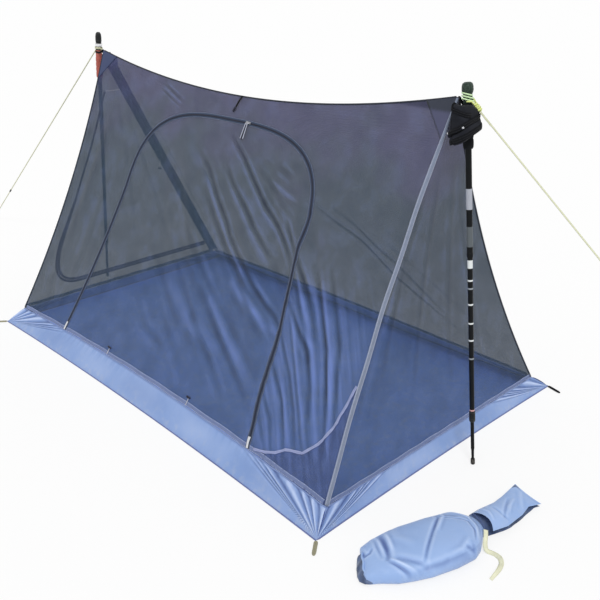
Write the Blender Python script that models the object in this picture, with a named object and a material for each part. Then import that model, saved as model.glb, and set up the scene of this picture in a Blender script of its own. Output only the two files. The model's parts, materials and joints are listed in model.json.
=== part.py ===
"""Mosquito net tent: a ridge tent of netting on a bathtub floor, held up by two trekking poles.

The frame: X along the ridge, from the far end (-X) to the near end (+X), Y from the front, with
the arched door (-Y), to the back (+Y), Z up. The origin is the middle of the floor's underside.
Metres throughout. The fabric panels are cut flat from 2-D patterns, laid on curved surfaces that
hang between the seams, and thickened, so a change of the floor, ridge or wall sizes recuts them.
"""
import math

import bmesh
import bpy
from mathutils import Matrix, Vector
from mathutils.geometry import delaunay_2d_cdt

# Floor and wall strips
FLOOR_LENGTH = 2.030
FLOOR_WIDTH = 1.244
FLOOR_SIDE_BOW = 0.022
FLOOR_END_BOW = 0.008
FLOOR_THICK = 0.0020
WALL_LEAN_SIDE = 0.074
WALL_LEAN_END = 0.035
RIM_LENGTH = FLOOR_LENGTH - 2 * WALL_LEAN_END
RIM_WIDTH = FLOOR_WIDTH - 2 * WALL_LEAN_SIDE
RIM_SIDE_BOW = 0.016
RIM_HEIGHT = 0.055
RIM_RISE = 0.021
WALL_THICK = 0.0018
CORNER_FOLD_DEPTH = 0.005
CORNER_FOLD_REACH = 0.24

# Canopy
APEX_HEIGHT = 1.150
NEAR_APEX_X = 0.945
FAR_APEX_X = -0.980
RIDGE_SAG = 0.100
HIP_SAG_X = 0.035
HIP_SAG_Y = 0.020
NET_THICK = 0.0016
CAP_REACH = 0.110
CAP_DROP = 0.120

# Seams, as the radius of each bound seam, and what lies between neighbours
HEM_R = 0.0022
RIM_R = 0.0026
HIP_R = 0.0040
RIDGE_R = 0.0030
GAP = 0.0003
SEAM_EASE = 0.0004

# Front door: an arch of zip from rim to rim, hinged along the rim
DOOR_FOOT_HALF = 0.612
DOOR_SHOULDER_HALF = 0.556
DOOR_SHOULDER_HEIGHT = 0.640
DOOR_HEAD_MARGIN = 0.0944
DOOR_CORNER_POWER = 2.7
ZIP_TAPE = 0.0050
ZIP_THICK = 0.0026
ZIP_SEAT = 0.0008
ZIP_STATION = 0.056
ZIP_SLIDER = Vector((0.026, 0.009, 0.0075))
SLIDER_REST_X = 0.090
PULL_LENGTH = 0.062

# The bound edge of the near front corner's doubled net, as points up from the rim
GUSSET_LINE = ((0.640, 0.014), (0.690, 0.026), (0.735, 0.043), (0.772, 0.068), (0.842, 0.086), (0.876, 0.124),
               (0.908, 0.195), (0.922, 0.245), (0.934, 0.300))
GUSSET_TAPE = (0.011, 0.0012)

# Far door: a zip down the front hip and along the rim, hinged along the back hip
FAR_DOOR_HEAD = 0.920
FAR_DOOR_FOOT = 0.070
FAR_DOOR_FRONT_MARGIN = 0.055
FAR_DOOR_BACK_MARGIN = 0.030
FAR_DOOR_CORNER = 0.200
FAR_DOOR_HEEL = 0.0060

# Trekking poles, measured along each pole from its foot
POLE_TOP_OUT_NEAR = 0.028
POLE_FOOT_OUT_NEAR = 0.092
POLE_PROUD_NEAR = 0.0425
POLE_TOP_OUT_FAR = 0.033
POLE_FOOT_OUT_FAR = 0.175
POLE_PROUD_FAR = 0.0733
LOWER_DRAWN_FAR = 0.036
UPPER_TUBE_R = 0.0090
MIDDLE_TUBE_R = 0.0078
LOWER_TUBE_R = 0.0058
TUBE_WALL = 0.0009
LOCK_R = 0.0098
GRIP_R = 0.0150
NECK_R = 0.0130
GRIP_LENGTH = 0.125
NEAR_HEAD = (0.0165, 0.030)
FAR_HEAD = (0.0135, 0.048)
NECK_LENGTH_NEAR = 0.028
NECK_LENGTH_FAR = 0.029
RING_LENGTH = 0.012
RING_R = 0.0160
UPPER_TUBE_FOOT = 0.700
LOCK_FOOT = 0.155
LOCK_LENGTH = 0.036
FOOT_LENGTH = 0.020
TUBE_OVERLAP = 0.080
SLIDING_CLEARANCE = 0.0003

STRAP_BUNDLE = Vector((0.030, 0.047, 0.056))

# Cords and fittings
GUY_R = 0.0014
WRAP_R = 0.0021
NEAR_GUY_PEG = Vector((1.915, 0.500, GUY_R + GAP))
FAR_GUY_PEG = Vector((-2.620, 0.000, GUY_R + GAP))
KNOT_R = 0.0085
PEAK_LOOP_WIDTH = 0.0080
PEAK_LOOP_THICK = 0.0020
PEAK_LOOP_TIP = 0.0024
TENSIONER_LENGTH = 0.028
TENSIONER_R = 0.0048
LOOP_LENGTH = 0.052
LOOP_WIDTH = 0.017
LOOP_R = 0.0024
TOGGLE_CORD_R = 0.0013
TOGGLE_R = 0.0042
TOGGLE_LENGTH = 0.020

# Stuff sack, lying beyond the near end
SACK_MIDDLE = Vector((1.245, -0.425, 0.0))
SACK_TURN = math.radians(72.0)
SACK_LENGTH = 0.385
SACK_WIDTH = 0.205
SACK_HEIGHT = 0.105
HOOD_LENGTH = 0.205
HOOD_WIDTH = 0.125
HOOD_THICK = 0.0018
STRAP_WIDTH = 0.016
STRAP_THICK = 0.0016


def clear_scene():
    """Remove whatever the open file holds."""
    for thing in list(bpy.data.objects):
        bpy.data.objects.remove(thing, do_unlink=True)


def material(name, colour, roughness, metallic=0.0):
    """A Principled material in one colour."""
    made = bpy.data.materials.new(name)
    made.use_nodes = True
    shader = made.node_tree.nodes["Principled BSDF"]
    shader.inputs["Base Color"].default_value = (*colour, 1.0)
    shader.inputs["Roughness"].default_value = roughness
    shader.inputs["Metallic"].default_value = metallic
    return made


COLOURS = {
    "netting": ((0.090, 0.105, 0.130), 0.90, 0.0),
    "door_netting": ((0.110, 0.125, 0.160), 0.90, 0.0),
    "floor_nylon": ((0.170, 0.260, 0.480), 0.70, 0.0),
    "wall_nylon": ((0.290, 0.430, 0.680), 0.60, 0.0),
    "dark_tape": ((0.060, 0.065, 0.130), 0.80, 0.0),
    "light_tape": ((0.420, 0.430, 0.560), 0.75, 0.0),
    "zip": ((0.025, 0.027, 0.040), 0.55, 0.0),
    "zip_metal": ((0.700, 0.710, 0.730), 0.30, 1.0),
    "black_plastic": ((0.015, 0.015, 0.017), 0.50, 0.0),
    "black_webbing": ((0.018, 0.018, 0.020), 0.85, 0.0),
    "olive_webbing": ((0.260, 0.250, 0.170), 0.85, 0.0),
    "black_tube": ((0.012, 0.012, 0.014), 0.30, 0.6),
    "grip_foam": ((0.020, 0.030, 0.026), 0.90, 0.0),
    "grip_cork": ((0.520, 0.190, 0.120), 0.80, 0.0),
    "silver": ((0.750, 0.760, 0.780), 0.25, 1.0),
    "rubber": ((0.014, 0.014, 0.014), 0.80, 0.0),
    "green_cord": ((0.330, 0.560, 0.180), 0.60, 0.0),
    "pale_cord": ((0.560, 0.580, 0.440), 0.65, 0.0),
}


def finish(body, finish_name, smooth=True):
    """Name a body's mesh after it, and give it its material and shading."""
    body.data.name = body.name
    paint = bpy.data.materials.get(finish_name) or material(finish_name, *COLOURS[finish_name])
    body.data.materials.clear()
    body.data.materials.append(paint)
    if body.type == "MESH":
        for face in body.data.polygons:
            face.use_smooth = smooth
    return body


def from_bmesh(name, mesh_data, finish_name, smooth=True):
    """Turn a bmesh into a named object with its finish."""
    bmesh.ops.recalc_face_normals(mesh_data, faces=mesh_data.faces[:])
    mesh = bpy.data.meshes.new(name)
    mesh_data.to_mesh(mesh)
    mesh_data.free()
    body = bpy.data.objects.new(name, mesh)
    bpy.context.collection.objects.link(body)
    return finish(body, finish_name, smooth)


def thicken(body, thickness):
    """Give a sheet its thickness, half to each side."""
    solid = body.modifiers.new("thickness", "SOLIDIFY")
    solid.thickness = thickness
    solid.offset = 0.0
    return body


def tube(name, points, radius, finish_name, closed=False, resolution=1):
    """A tube with filled caps along a line of points."""
    curve = bpy.data.curves.new(name, "CURVE")
    curve.dimensions = "3D"
    curve.bevel_depth = radius
    curve.bevel_resolution = resolution
    curve.use_fill_caps = not closed
    line = curve.splines.new("POLY")
    line.points.add(len(points) - 1)
    for knot, place in zip(line.points, points):
        knot.co = (*place, 1.0)
    line.use_cyclic_u = closed
    body = bpy.data.objects.new(name, curve)
    bpy.context.collection.objects.link(body)
    return finish(body, finish_name)


def ribbon(name, points, ups, width, thickness, finish_name, closed=False):
    """A flat band along a line of points, its broad face square to each point's up."""
    mesh_data = bmesh.new()
    rings = []
    count = len(points)
    for index, (place, up) in enumerate(zip(points, ups)):
        before = points[(index - 1) % count] if closed or index else place
        after = points[(index + 1) % count] if closed or index + 1 < count else place
        along = (after - before).normalized()
        side = along.cross(up).normalized()
        rise = side.cross(along).normalized()
        corners = ((-1, -1), (1, -1), (1, 1), (-1, 1))
        rings.append([mesh_data.verts.new(place + side * (a * width / 2) + rise * (b * thickness / 2))
                      for a, b in corners])
    pairs = list(zip(rings, rings[1:]))
    if closed:
        pairs.append((rings[-1], rings[0]))
    for first, second in pairs:
        for k in range(4):
            mesh_data.faces.new((first[k], first[(k + 1) % 4], second[(k + 1) % 4], second[k]))
    if not closed:
        mesh_data.faces.new(rings[0])
        mesh_data.faces.new(rings[-1])
    return from_bmesh(name, mesh_data, finish_name, smooth=False)


def lathe(name, profile, finish_name, steps=24, closed=False):
    """Turn a profile of (radius, height) about Z; a closed profile gives a tube with its bore."""
    mesh_data = bmesh.new()
    verts = [mesh_data.verts.new((radius, 0.0, height)) for radius, height in profile]
    edges = [mesh_data.edges.new(pair) for pair in zip(verts, verts[1:])]
    if closed:
        edges.append(mesh_data.edges.new((verts[-1], verts[0])))
    bmesh.ops.spin(mesh_data, geom=verts + edges, cent=(0.0, 0.0, 0.0), axis=(0.0, 0.0, 1.0),
                   angle=math.tau, steps=steps, use_merge=True)
    bmesh.ops.remove_doubles(mesh_data, verts=mesh_data.verts[:], dist=1e-6)
    return from_bmesh(name, mesh_data, finish_name)


def lerp(a, b, t):
    """The value or place a share t of the way from a to b."""
    return a + (b - a) * t


def bow(t):
    """A shallow catenary's shape: 0 at both ends, 1 in the middle."""
    return 4.0 * t * (1.0 - t)


def apex(end):
    """The tent's peak at an end, -1 far or +1 near."""
    return Vector((NEAR_APEX_X if end > 0 else FAR_APEX_X, 0.0, APEX_HEIGHT))


def ridge(t):
    """The ridge seam, from the far peak to the near one."""
    place = apex(-1).lerp(apex(1), t)
    place.z -= RIDGE_SAG * bow(t)
    return place


def side_rim(side, t):
    """The top of a long wall, side -1 front or +1 back, from the far end to the near end."""
    return Vector((lerp(-RIM_LENGTH / 2, RIM_LENGTH / 2, t),
                   side * (RIM_WIDTH / 2 - RIM_SIDE_BOW * bow(t)),
                   RIM_HEIGHT + RIM_RISE * bow(t)))


def end_rim(end, t):
    """The top of an end wall, from the front to the back."""
    return Vector((end * RIM_LENGTH / 2, lerp(-RIM_WIDTH / 2, RIM_WIDTH / 2, t), RIM_HEIGHT))


def side_hem(side, t):
    """The floor's edge along a long side, from the far end to the near end."""
    return Vector((lerp(-FLOOR_LENGTH / 2, FLOOR_LENGTH / 2, t),
                   side * (FLOOR_WIDTH / 2 - FLOOR_SIDE_BOW * bow(t)), HEM_R))


def end_hem(end, t):
    """The floor's edge along an end, from the front to the back."""
    return Vector((end * (FLOOR_LENGTH / 2 - FLOOR_END_BOW * bow(t)),
                   lerp(-FLOOR_WIDTH / 2, FLOOR_WIDTH / 2, t), HEM_R))


def hip(end, side, t):
    """A hip seam, from its rim corner up to the peak; its pull draws it inwards."""
    foot = Vector((end * RIM_LENGTH / 2, side * RIM_WIDTH / 2, RIM_HEIGHT))
    place = foot.lerp(apex(end), t)
    place.x -= end * HIP_SAG_X * bow(t)
    place.y -= side * HIP_SAG_Y * bow(t)
    return place


def coons(low, high, left, right, u, v):
    """A point of the surface that hangs between four seams."""
    ruled = low(u).lerp(high(u), v) + left(v).lerp(right(v), u)
    bilinear = low(0).lerp(low(1), u).lerp(high(0).lerp(high(1), u), v)
    return ruled - bilinear


SIDE_SPAN = (side_rim(-1, 0) - side_rim(-1, 1)).length
SIDE_RISE = (ridge(0.5) - side_rim(-1, 0.5)).length
END_RISE = (apex(-1) - end_rim(-1, 0.5)).length
DOOR_HEIGHT = SIDE_RISE - DOOR_HEAD_MARGIN


# Soft folds, each from its top to its foot on the pattern, with its half width and its depth
FRONT_FOLDS = (
    ((0.10, 0.86), (0.62, 0.10), 0.042, 0.011),
    ((0.26, 0.90), (0.74, 0.08), 0.036, -0.009),
    ((0.44, 0.86), (0.84, 0.10), 0.036, 0.011),
    ((0.54, 0.76), (0.90, 0.16), 0.032, -0.010),
    ((0.56, 0.74), (0.94, 0.60), 0.040, 0.009),
    ((-0.30, 0.96), (0.30, 0.08), 0.046, 0.010),
    ((-0.44, 0.90), (0.02, 0.10), 0.046, -0.008),
    ((-0.78, 0.90), (-0.80, 0.12), 0.046, 0.008),
)
BACK_FOLDS = (
    ((-0.55, 0.95), (-0.76, 0.10), 0.075, 0.012),
    ((-0.10, 0.92), (-0.28, 0.10), 0.075, -0.010),
    ((0.30, 0.92), (0.40, 0.10), 0.075, 0.012),
)


def fold_depth(pattern, folds):
    """How far the folds push the net out at a pattern point."""
    depth = 0.0
    for top, foot, width, deep in folds:
        start = Vector(top)
        along = Vector(foot) - start
        share = (pattern - start).dot(along) / along.length_squared
        if 0.0 < share < 1.0:
            away = (pattern - start - along * share).length
            depth += deep * math.exp(-(away / width) ** 2) * bow(share) ** 0.5
    return depth


def side_surface(side):
    """The long panel's surface over its flat pattern: x from the middle, y up from the rim."""
    folds = FRONT_FOLDS if side < 0 else BACK_FOLDS

    def place(pattern):
        u = pattern.x / SIDE_SPAN + 0.5
        v = pattern.y / SIDE_RISE
        spot = coons(lambda t: side_rim(side, t), ridge,
                     lambda t: hip(-1, side, t), lambda t: hip(1, side, t), u, v)
        depth = fold_depth(pattern, folds)
        return spot + Vector((0.0, side * depth * 0.9, depth * 0.45))
    return place


def end_surface(end):
    """The end panel's surface over its flat pattern: x towards the back, y up from the rim."""
    def place(pattern):
        v = min(pattern.y / END_RISE, 0.999)
        u = pattern.x / (RIM_WIDTH * (1.0 - v)) + 0.5
        spot = coons(lambda t: end_rim(end, t), lambda t: apex(end),
                     lambda t: hip(end, -1, t), lambda t: hip(end, 1, t), u, v)
        return spot
    return place


def inside(point, outline):
    """Whether a pattern point lies inside a closed outline."""
    within = False
    for first, second in zip(outline, outline[1:] + outline[:1]):
        if (first.y > point.y) != (second.y > point.y):
            cut = first.x + (point.y - first.y) * (second.x - first.x) / (second.y - first.y)
            if point.x < cut:
                within = not within
    return within


def regions(triangles, borders):
    """Group triangles that share an edge which isn't a border."""
    by_edge = {}
    for index, corners in enumerate(triangles):
        for pair in zip(corners, corners[1:] + corners[:1]):
            by_edge.setdefault(frozenset(pair), []).append(index)
    left = set(range(len(triangles)))
    while left:
        stack = [left.pop()]
        group = []
        while stack:
            index = stack.pop()
            group.append(index)
            corners = triangles[index]
            for pair in zip(corners, corners[1:] + corners[:1]):
                edge = frozenset(pair)
                if edge in borders:
                    continue
                for other in by_edge[edge]:
                    if other in left:
                        left.remove(other)
                        stack.append(other)
        yield group


def edge_distance(point, outline):
    """How far a pattern point lies from an outline."""
    nearest = 1e9
    for first, second in zip(outline, outline[1:] + outline[:1]):
        along = second - first
        share = max(0.0, min(1.0, (point - first).dot(along) / max(along.length_squared, 1e-12)))
        nearest = min(nearest, (point - first - along * share).length)
    return nearest


def evenly(line, step, closed=True):
    """A line with points added so that no stretch is longer than the step."""
    spaced = []
    for first, second in zip(line, line[1:] + (line[:1] if closed else [])):
        parts = max(1, math.ceil((second - first).length / step))
        spaced += [first.lerp(second, k / parts) for k in range(parts)]
    return spaced if closed else spaced + line[-1:]


def cut_panel(name, outline, hole, place, step, finish_name, seam=()):
    """Cut a panel from its flat pattern, lay it on its surface and thicken it.

    A seam is an open line on the pattern that the panel's facets follow.
    """
    rings = [evenly(outline, step[0] * 1.02)] + ([evenly(hole, step[0] * 1.02)] if hole else [])
    points = [spot for ring in rings for spot in ring]
    edges = []
    start = 0
    for ring in rings:
        count = len(ring)
        edges += [(start + k, start + (k + 1) % count) for k in range(count)]
        start += count
    points += seam
    edges += [(start + k, start + k + 1) for k in range(len(seam) - 1)]
    low = Vector((min(p.x for p in outline), min(p.y for p in outline)))
    high = Vector((max(p.x for p in outline), max(p.y for p in outline)))
    columns = int((high.x - low.x) / step[0])
    rows = int((high.y - low.y) / step[1])
    clear = min(step) * 0.45
    for i in range(1, columns):
        for j in range(1, rows):
            spot = Vector((lerp(low.x, high.x, i / columns), lerp(low.y, high.y, j / rows)))
            if not inside(spot, outline) or edge_distance(spot, rings[0]) < clear:
                continue
            if hole and (inside(spot, hole) or edge_distance(spot, rings[1]) < clear):
                continue
            if seam and min((spot - place_on_seam).length for place_on_seam in seam) < clear:
                continue
            points.append(spot)
    flat, flat_edges, triangles, _, came_from, _ = delaunay_2d_cdt(points, edges, [], 0, 1e-7)
    borders = {frozenset(pair) for pair, origins in zip(flat_edges, came_from) if origins}
    mesh_data = bmesh.new()
    verts = [mesh_data.verts.new(place(spot)) for spot in flat]
    for group in regions(triangles, borders):
        def area(index):
            a, b, c = (flat[k] for k in triangles[index])
            return abs((b - a).cross(c - a))
        largest = triangles[max(group, key=area)]
        middle = sum((flat[k] for k in largest), Vector((0.0, 0.0))) / 3.0
        if inside(middle, rings[0]) and not (hole and inside(middle, rings[1])):
            for index in group:
                mesh_data.faces.new([verts[k] for k in triangles[index]])
    loose = [v for v in mesh_data.verts if not v.link_faces]
    bmesh.ops.delete(mesh_data, geom=loose, context="VERTS")
    return thicken(from_bmesh(name, mesh_data, finish_name), NET_THICK)


def offset(line, distance):
    """A pattern line moved to its left by a distance."""
    moved = []
    for index, spot in enumerate(line):
        before = line[max(index - 1, 0)]
        after = line[min(index + 1, len(line) - 1)]
        along = (after - before).normalized()
        moved.append(spot + Vector((-along.y, along.x)) * distance)
    return moved


def on_surface(line, place):
    """A pattern line laid on a surface, with the surface's outward direction at each point."""
    reach = 0.01
    spots = [place(p) for p in line]
    ups = []
    for p in line:
        east = place(p + Vector((reach, 0.0))) - place(p - Vector((reach, 0.0)))
        north = place(p + Vector((0.0, reach))) - place(p - Vector((0.0, reach)))
        ups.append(east.cross(north).normalized())
    return spots, ups


def door_arch():
    """The front zip's line on the pattern: up the far leg, over the top, down the near leg."""
    foot = RIM_R + GAP + NET_THICK
    leg = [Vector((lerp(DOOR_FOOT_HALF, DOOR_SHOULDER_HALF, t),
                   lerp(foot, DOOR_SHOULDER_HEIGHT, t))) for t in (0.0, 0.2, 0.4, 0.6, 0.8)]
    turns = 14
    crown = []
    for k in range(turns + 1):
        angle = math.pi / 2 * k / turns
        power = 2.0 / DOOR_CORNER_POWER
        crown.append(Vector((DOOR_SHOULDER_HALF * math.cos(angle) ** power,
                             DOOR_SHOULDER_HEIGHT + (DOOR_HEIGHT - DOOR_SHOULDER_HEIGHT)
                             * math.sin(angle) ** power)))
    crown[-1].x = 0.0
    near = leg + crown
    far = [Vector((-p.x, p.y)) for p in near[:-1]]
    return far + near[::-1]


def seam_outline(side):
    """The long panel's outline on its pattern, short of every bound seam and of both caps."""
    margin = (HIP_R + GAP + NET_THICK / 2) * 1.08
    half = SIDE_SPAN / 2 - margin
    foot = RIM_R + GAP + SEAM_EASE
    head = SIDE_RISE - (RIDGE_R + GAP + SEAM_EASE) * 1.2
    cap_along = CAP_REACH + SEAM_EASE
    cap_down = CAP_DROP + SEAM_EASE
    return [Vector((-half, foot)), Vector((half, foot)), Vector((half, SIDE_RISE - cap_down)),
            Vector((SIDE_SPAN / 2 - cap_along, head)), Vector((cap_along - SIDE_SPAN / 2, head)),
            Vector((-half, SIDE_RISE - cap_down))]


def end_outline():
    """The end panel's outline on its pattern, cut off level under the cap."""
    margin = (HIP_R + GAP + NET_THICK / 2) * 1.26
    foot = RIM_R + GAP + SEAM_EASE
    top = END_RISE * (1 - CAP_DROP / SIDE_RISE) - GAP - SEAM_EASE
    foot_half = RIM_WIDTH / 2 * (1 - foot / END_RISE) - margin
    top_half = RIM_WIDTH / 2 * (1 - top / END_RISE) - margin
    return [Vector((-foot_half, foot)), Vector((foot_half, foot)),
            Vector((top_half, top)), Vector((-top_half, top))]


def far_door_line():
    """The far door's zip on its pattern: down beside the front hip, round, along the rim."""
    def hip_half(y):
        return RIM_WIDTH / 2 * (1 - y / END_RISE)

    top = FAR_DOOR_HEAD
    foot = FAR_DOOR_FOOT
    line = [Vector((-hip_half(y) + FAR_DOOR_FRONT_MARGIN, y))
            for y in (top, lerp(top, foot, 0.25), lerp(top, foot, 0.5), lerp(top, foot, 0.68))]
    corner = Vector((-hip_half(foot) + FAR_DOOR_FRONT_MARGIN, foot))
    start = line[-1]
    finish_spot = corner + Vector((FAR_DOOR_CORNER, 0.0))
    for k in range(1, 9):
        t = k / 8
        line.append(start.lerp(corner, t).lerp(corner.lerp(finish_spot, t), t))
    far_end = Vector((hip_half(foot) - FAR_DOOR_BACK_MARGIN, foot))
    line += [finish_spot.lerp(far_end, t) for t in (0.33, 0.66, 1.0)]
    return line


def zip_halves(name, line, place, finish_name="zip"):
    """The two tapes of a closed zip, one for the panel and one for the door."""
    apart = ZIP_TAPE / 2 + GAP
    halves = []
    for half_name, distance in ((name + "_frame", apart), (name + "_door", -apart)):
        spots, ups = on_surface(offset(line, distance), place)
        halves.append(ribbon(half_name, spots, ups, ZIP_TAPE, ZIP_THICK, finish_name))
    return halves


def make_floor():
    """The floor sheet, its dark hem and the four wall strips with their gathered corners."""
    steps = 10
    edge = []
    for k in range(steps):
        edge.append(side_hem(-1, k / steps))
    for k in range(6):
        edge.append(end_hem(1, k / 6))
    for k in range(steps):
        edge.append(side_hem(1, 1 - k / steps))
    for k in range(6):
        edge.append(end_hem(-1, 1 - k / 6))
    tube("floor_hem", edge, HEM_R, "dark_tape", closed=True)

    inset = HEM_R + GAP
    mesh_data = bmesh.new()
    inner = []
    for spot in edge:
        x = spot.x - math.copysign(inset, spot.x)
        y = spot.y - math.copysign(inset, spot.y) if spot.y else spot.y
        inner.append(mesh_data.verts.new((x, y, 0.0)))
    sheet = mesh_data.faces.new(inner)
    raised = bmesh.ops.extrude_face_region(mesh_data, geom=[sheet])
    lifted = [v for v in raised["geom"] if isinstance(v, bmesh.types.BMVert)]
    bmesh.ops.translate(mesh_data, verts=lifted, vec=(0.0, 0.0, FLOOR_THICK))
    from_bmesh("floor_sheet", mesh_data, "floor_nylon", smooth=False)

    make_wall("wall_front", lambda t: side_hem(-1, t), lambda t: side_rim(-1, t), Vector((0, -1, 0.8)), 44)
    make_wall("wall_back", lambda t: side_hem(1, t), lambda t: side_rim(1, t), Vector((0, 1, 0.8)), 28)
    make_wall("wall_near_end", lambda t: end_hem(1, t), lambda t: end_rim(1, t), Vector((1, 0, 0.8)), 28)
    make_wall("wall_far_end", lambda t: end_hem(-1, t), lambda t: end_rim(-1, t), Vector((-1, 0, 0.8)), 20)


def make_wall(name, hem, rim, outward, columns):
    """One wall strip between hem and rim, pleated where it gathers at its corners."""
    length = (hem(1) - hem(0)).length
    along = (hem(1) - hem(0)).normalized()
    margin = (RIM_R + WALL_THICK + GAP) / length
    outward = outward.normalized()
    mesh_data = bmesh.new()
    rows = 4
    grid = []
    for i in range(columns + 1):
        t = lerp(margin, 1 - margin, i / columns)
        low, high = hem(t), rim(t)
        slant = high - low
        rise = (slant - along * slant.dot(along)).length
        start = (HEM_R + GAP + SEAM_EASE / 2) / rise
        stop = 1 - (RIM_R + GAP + SEAM_EASE / 2) / rise
        nearest = min(t, 1 - t) * length
        gather = max(0.0, 1 - nearest / CORNER_FOLD_REACH) * min(1.0, nearest / 0.03)
        pleat = CORNER_FOLD_DEPTH * gather * math.sin(nearest / 0.0075)
        column = []
        for j in range(rows + 1):
            share = j / rows
            spot = low.lerp(high, lerp(start, stop, share)) + outward * (pleat * bow(share) ** 2)
            column.append(mesh_data.verts.new(spot))
        grid.append(column)
    for first, second in zip(grid, grid[1:]):
        for j in range(rows):
            mesh_data.faces.new((first[j], second[j], second[j + 1], first[j + 1]))
    return thicken(from_bmesh(name, mesh_data, "wall_nylon"), WALL_THICK)


def make_seams():
    """The rim seam, the ridge seam, the four hip tapes and the caps that close the peaks."""
    steps = 10
    rim = [side_rim(-1, k / steps) for k in range(steps)]
    rim += [end_rim(1, k / 2) for k in range(2)]
    rim += [side_rim(1, 1 - k / steps) for k in range(steps)]
    rim += [end_rim(-1, 1 - k / 2) for k in range(2)]
    tube("rim_seam", rim, RIM_R, "wall_nylon", closed=True)

    start = (CAP_REACH + GAP + SEAM_EASE) / SIDE_SPAN
    tube("ridge_seam", [ridge(lerp(start, 1 - start, k / 20)) for k in range(21)], RIDGE_R, "dark_tape")

    for end, end_name in ((1, "near"), (-1, "far")):
        for side, side_name in ((-1, "front"), (1, "back")):
            length = (hip(end, side, 1) - hip(end, side, 0)).length
            foot = (RIM_R + HIP_R + GAP) / length
            top = 1 - CAP_DROP / SIDE_RISE - (GAP + SEAM_EASE) / length
            spots = [hip(end, side, lerp(foot, top, k / 12)) for k in range(13)]
            colour = "light_tape" if (end, side) == (1, -1) else "dark_tape"
            tube(f"hip_tape_{end_name}_{side_name}", spots, HIP_R, colour)
        make_cap(end, f"peak_cap_{end_name}")


def make_cap(end, name):
    """The reinforced patch that closes a peak: three faces that meet under the tie point."""
    mesh_data = bmesh.new()
    ridge_share = CAP_REACH / SIDE_SPAN
    hip_share = 1 - CAP_DROP / SIDE_RISE
    peak = mesh_data.verts.new(apex(end))
    crest = mesh_data.verts.new(ridge(1 - ridge_share if end > 0 else ridge_share))
    front = mesh_data.verts.new(hip(end, -1, hip_share))
    back = mesh_data.verts.new(hip(end, 1, hip_share))
    mesh_data.faces.new((peak, crest, front))
    mesh_data.faces.new((peak, back, crest))
    mesh_data.faces.new((peak, front, back))
    return thicken(from_bmesh(name, mesh_data, "dark_tape", smooth=False), NET_THICK)


def gusset_line():
    """The pale tape's line on the front pattern."""
    return evenly([Vector(p) for p in GUSSET_LINE], 0.03, closed=False)


def make_front():
    """The front panel, its arched door and the two tapes of the zip between them."""
    front = side_surface(-1)
    arch = evenly(door_arch(), ZIP_STATION, closed=False)
    tape_reach = ZIP_TAPE + GAP + ZIP_SEAT
    hole = offset(arch, tape_reach)
    foot = RIM_R + GAP + SEAM_EASE
    outline = seam_outline(-1)
    frame_outline = ([outline[0], Vector((hole[0].x, foot))] + hole[1:-1]
                     + [Vector((hole[-1].x, foot))] + outline[1:])
    cut_panel("net_front", frame_outline, None, front, (ZIP_STATION, 0.080), "netting", gusset_line())

    leaf = offset(arch, -tape_reach)
    door_foot = foot + GAP
    door_outline = [Vector((leaf[0].x, door_foot))] + leaf[1:-1] + [Vector((leaf[-1].x, door_foot))]
    cut_panel("door_front", door_outline[::-1], None, front, (ZIP_STATION, 0.080), "door_netting")
    zip_halves("zip_front", arch, front)


def make_far_end():
    """The far end panel and its door, whose zip runs down beside the front hip and along the rim."""
    far = end_surface(-1)
    step = (0.080, 0.110)
    line = evenly(far_door_line(), step[0], closed=False)
    reach = ZIP_TAPE + ZIP_SEAT
    door_edge = offset(line, reach)
    frame_edge = offset(line, -reach)
    head = line[0].y
    hinge_top = Vector((RIM_WIDTH / 2 * (1 - head / END_RISE) - FAR_DOOR_BACK_MARGIN, head))
    hinge_side = offset([door_edge[-1], hinge_top], -ZIP_SEAT)
    door_edge[-1] = door_edge[-1] + (hinge_top - door_edge[-1]).normalized() * FAR_DOOR_HEEL
    step_up = Vector((0.0, ZIP_SEAT))
    corner = Vector((hinge_side[0].x, frame_edge[-1].y))
    frame_hole = [frame_edge[0] + step_up] + frame_edge + [corner] + [hinge_side[0], hinge_side[1] + step_up]
    cut_panel("net_far_end", end_outline(), frame_hole, far, step, "netting")
    cut_panel("door_far", door_edge + [hinge_top], None, far, step, "door_netting")
    spots, ups = on_surface(line, far)
    ribbon("zip_far", spots, ups, ZIP_TAPE * 2, ZIP_THICK, "zip")


def make_canopy():
    """The net panels, both doors and their zips."""
    make_front()
    cut_panel("net_back", seam_outline(1), None, side_surface(1), (0.075, 0.140), "netting")
    cut_panel("net_near_end", end_outline(), None, end_surface(1), (0.090, 0.110), "netting")
    make_far_end()


def axis_frame(foot, top):
    """A matrix whose Z runs from the foot to the top, with its origin at the foot."""
    up = (top - foot).normalized()
    side = Vector((0.0, 1.0, 0.0)).cross(up).normalized()
    ahead = up.cross(side)
    turn = Matrix((side, ahead, up)).transposed().to_4x4()
    return Matrix.Translation(foot) @ turn


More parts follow.
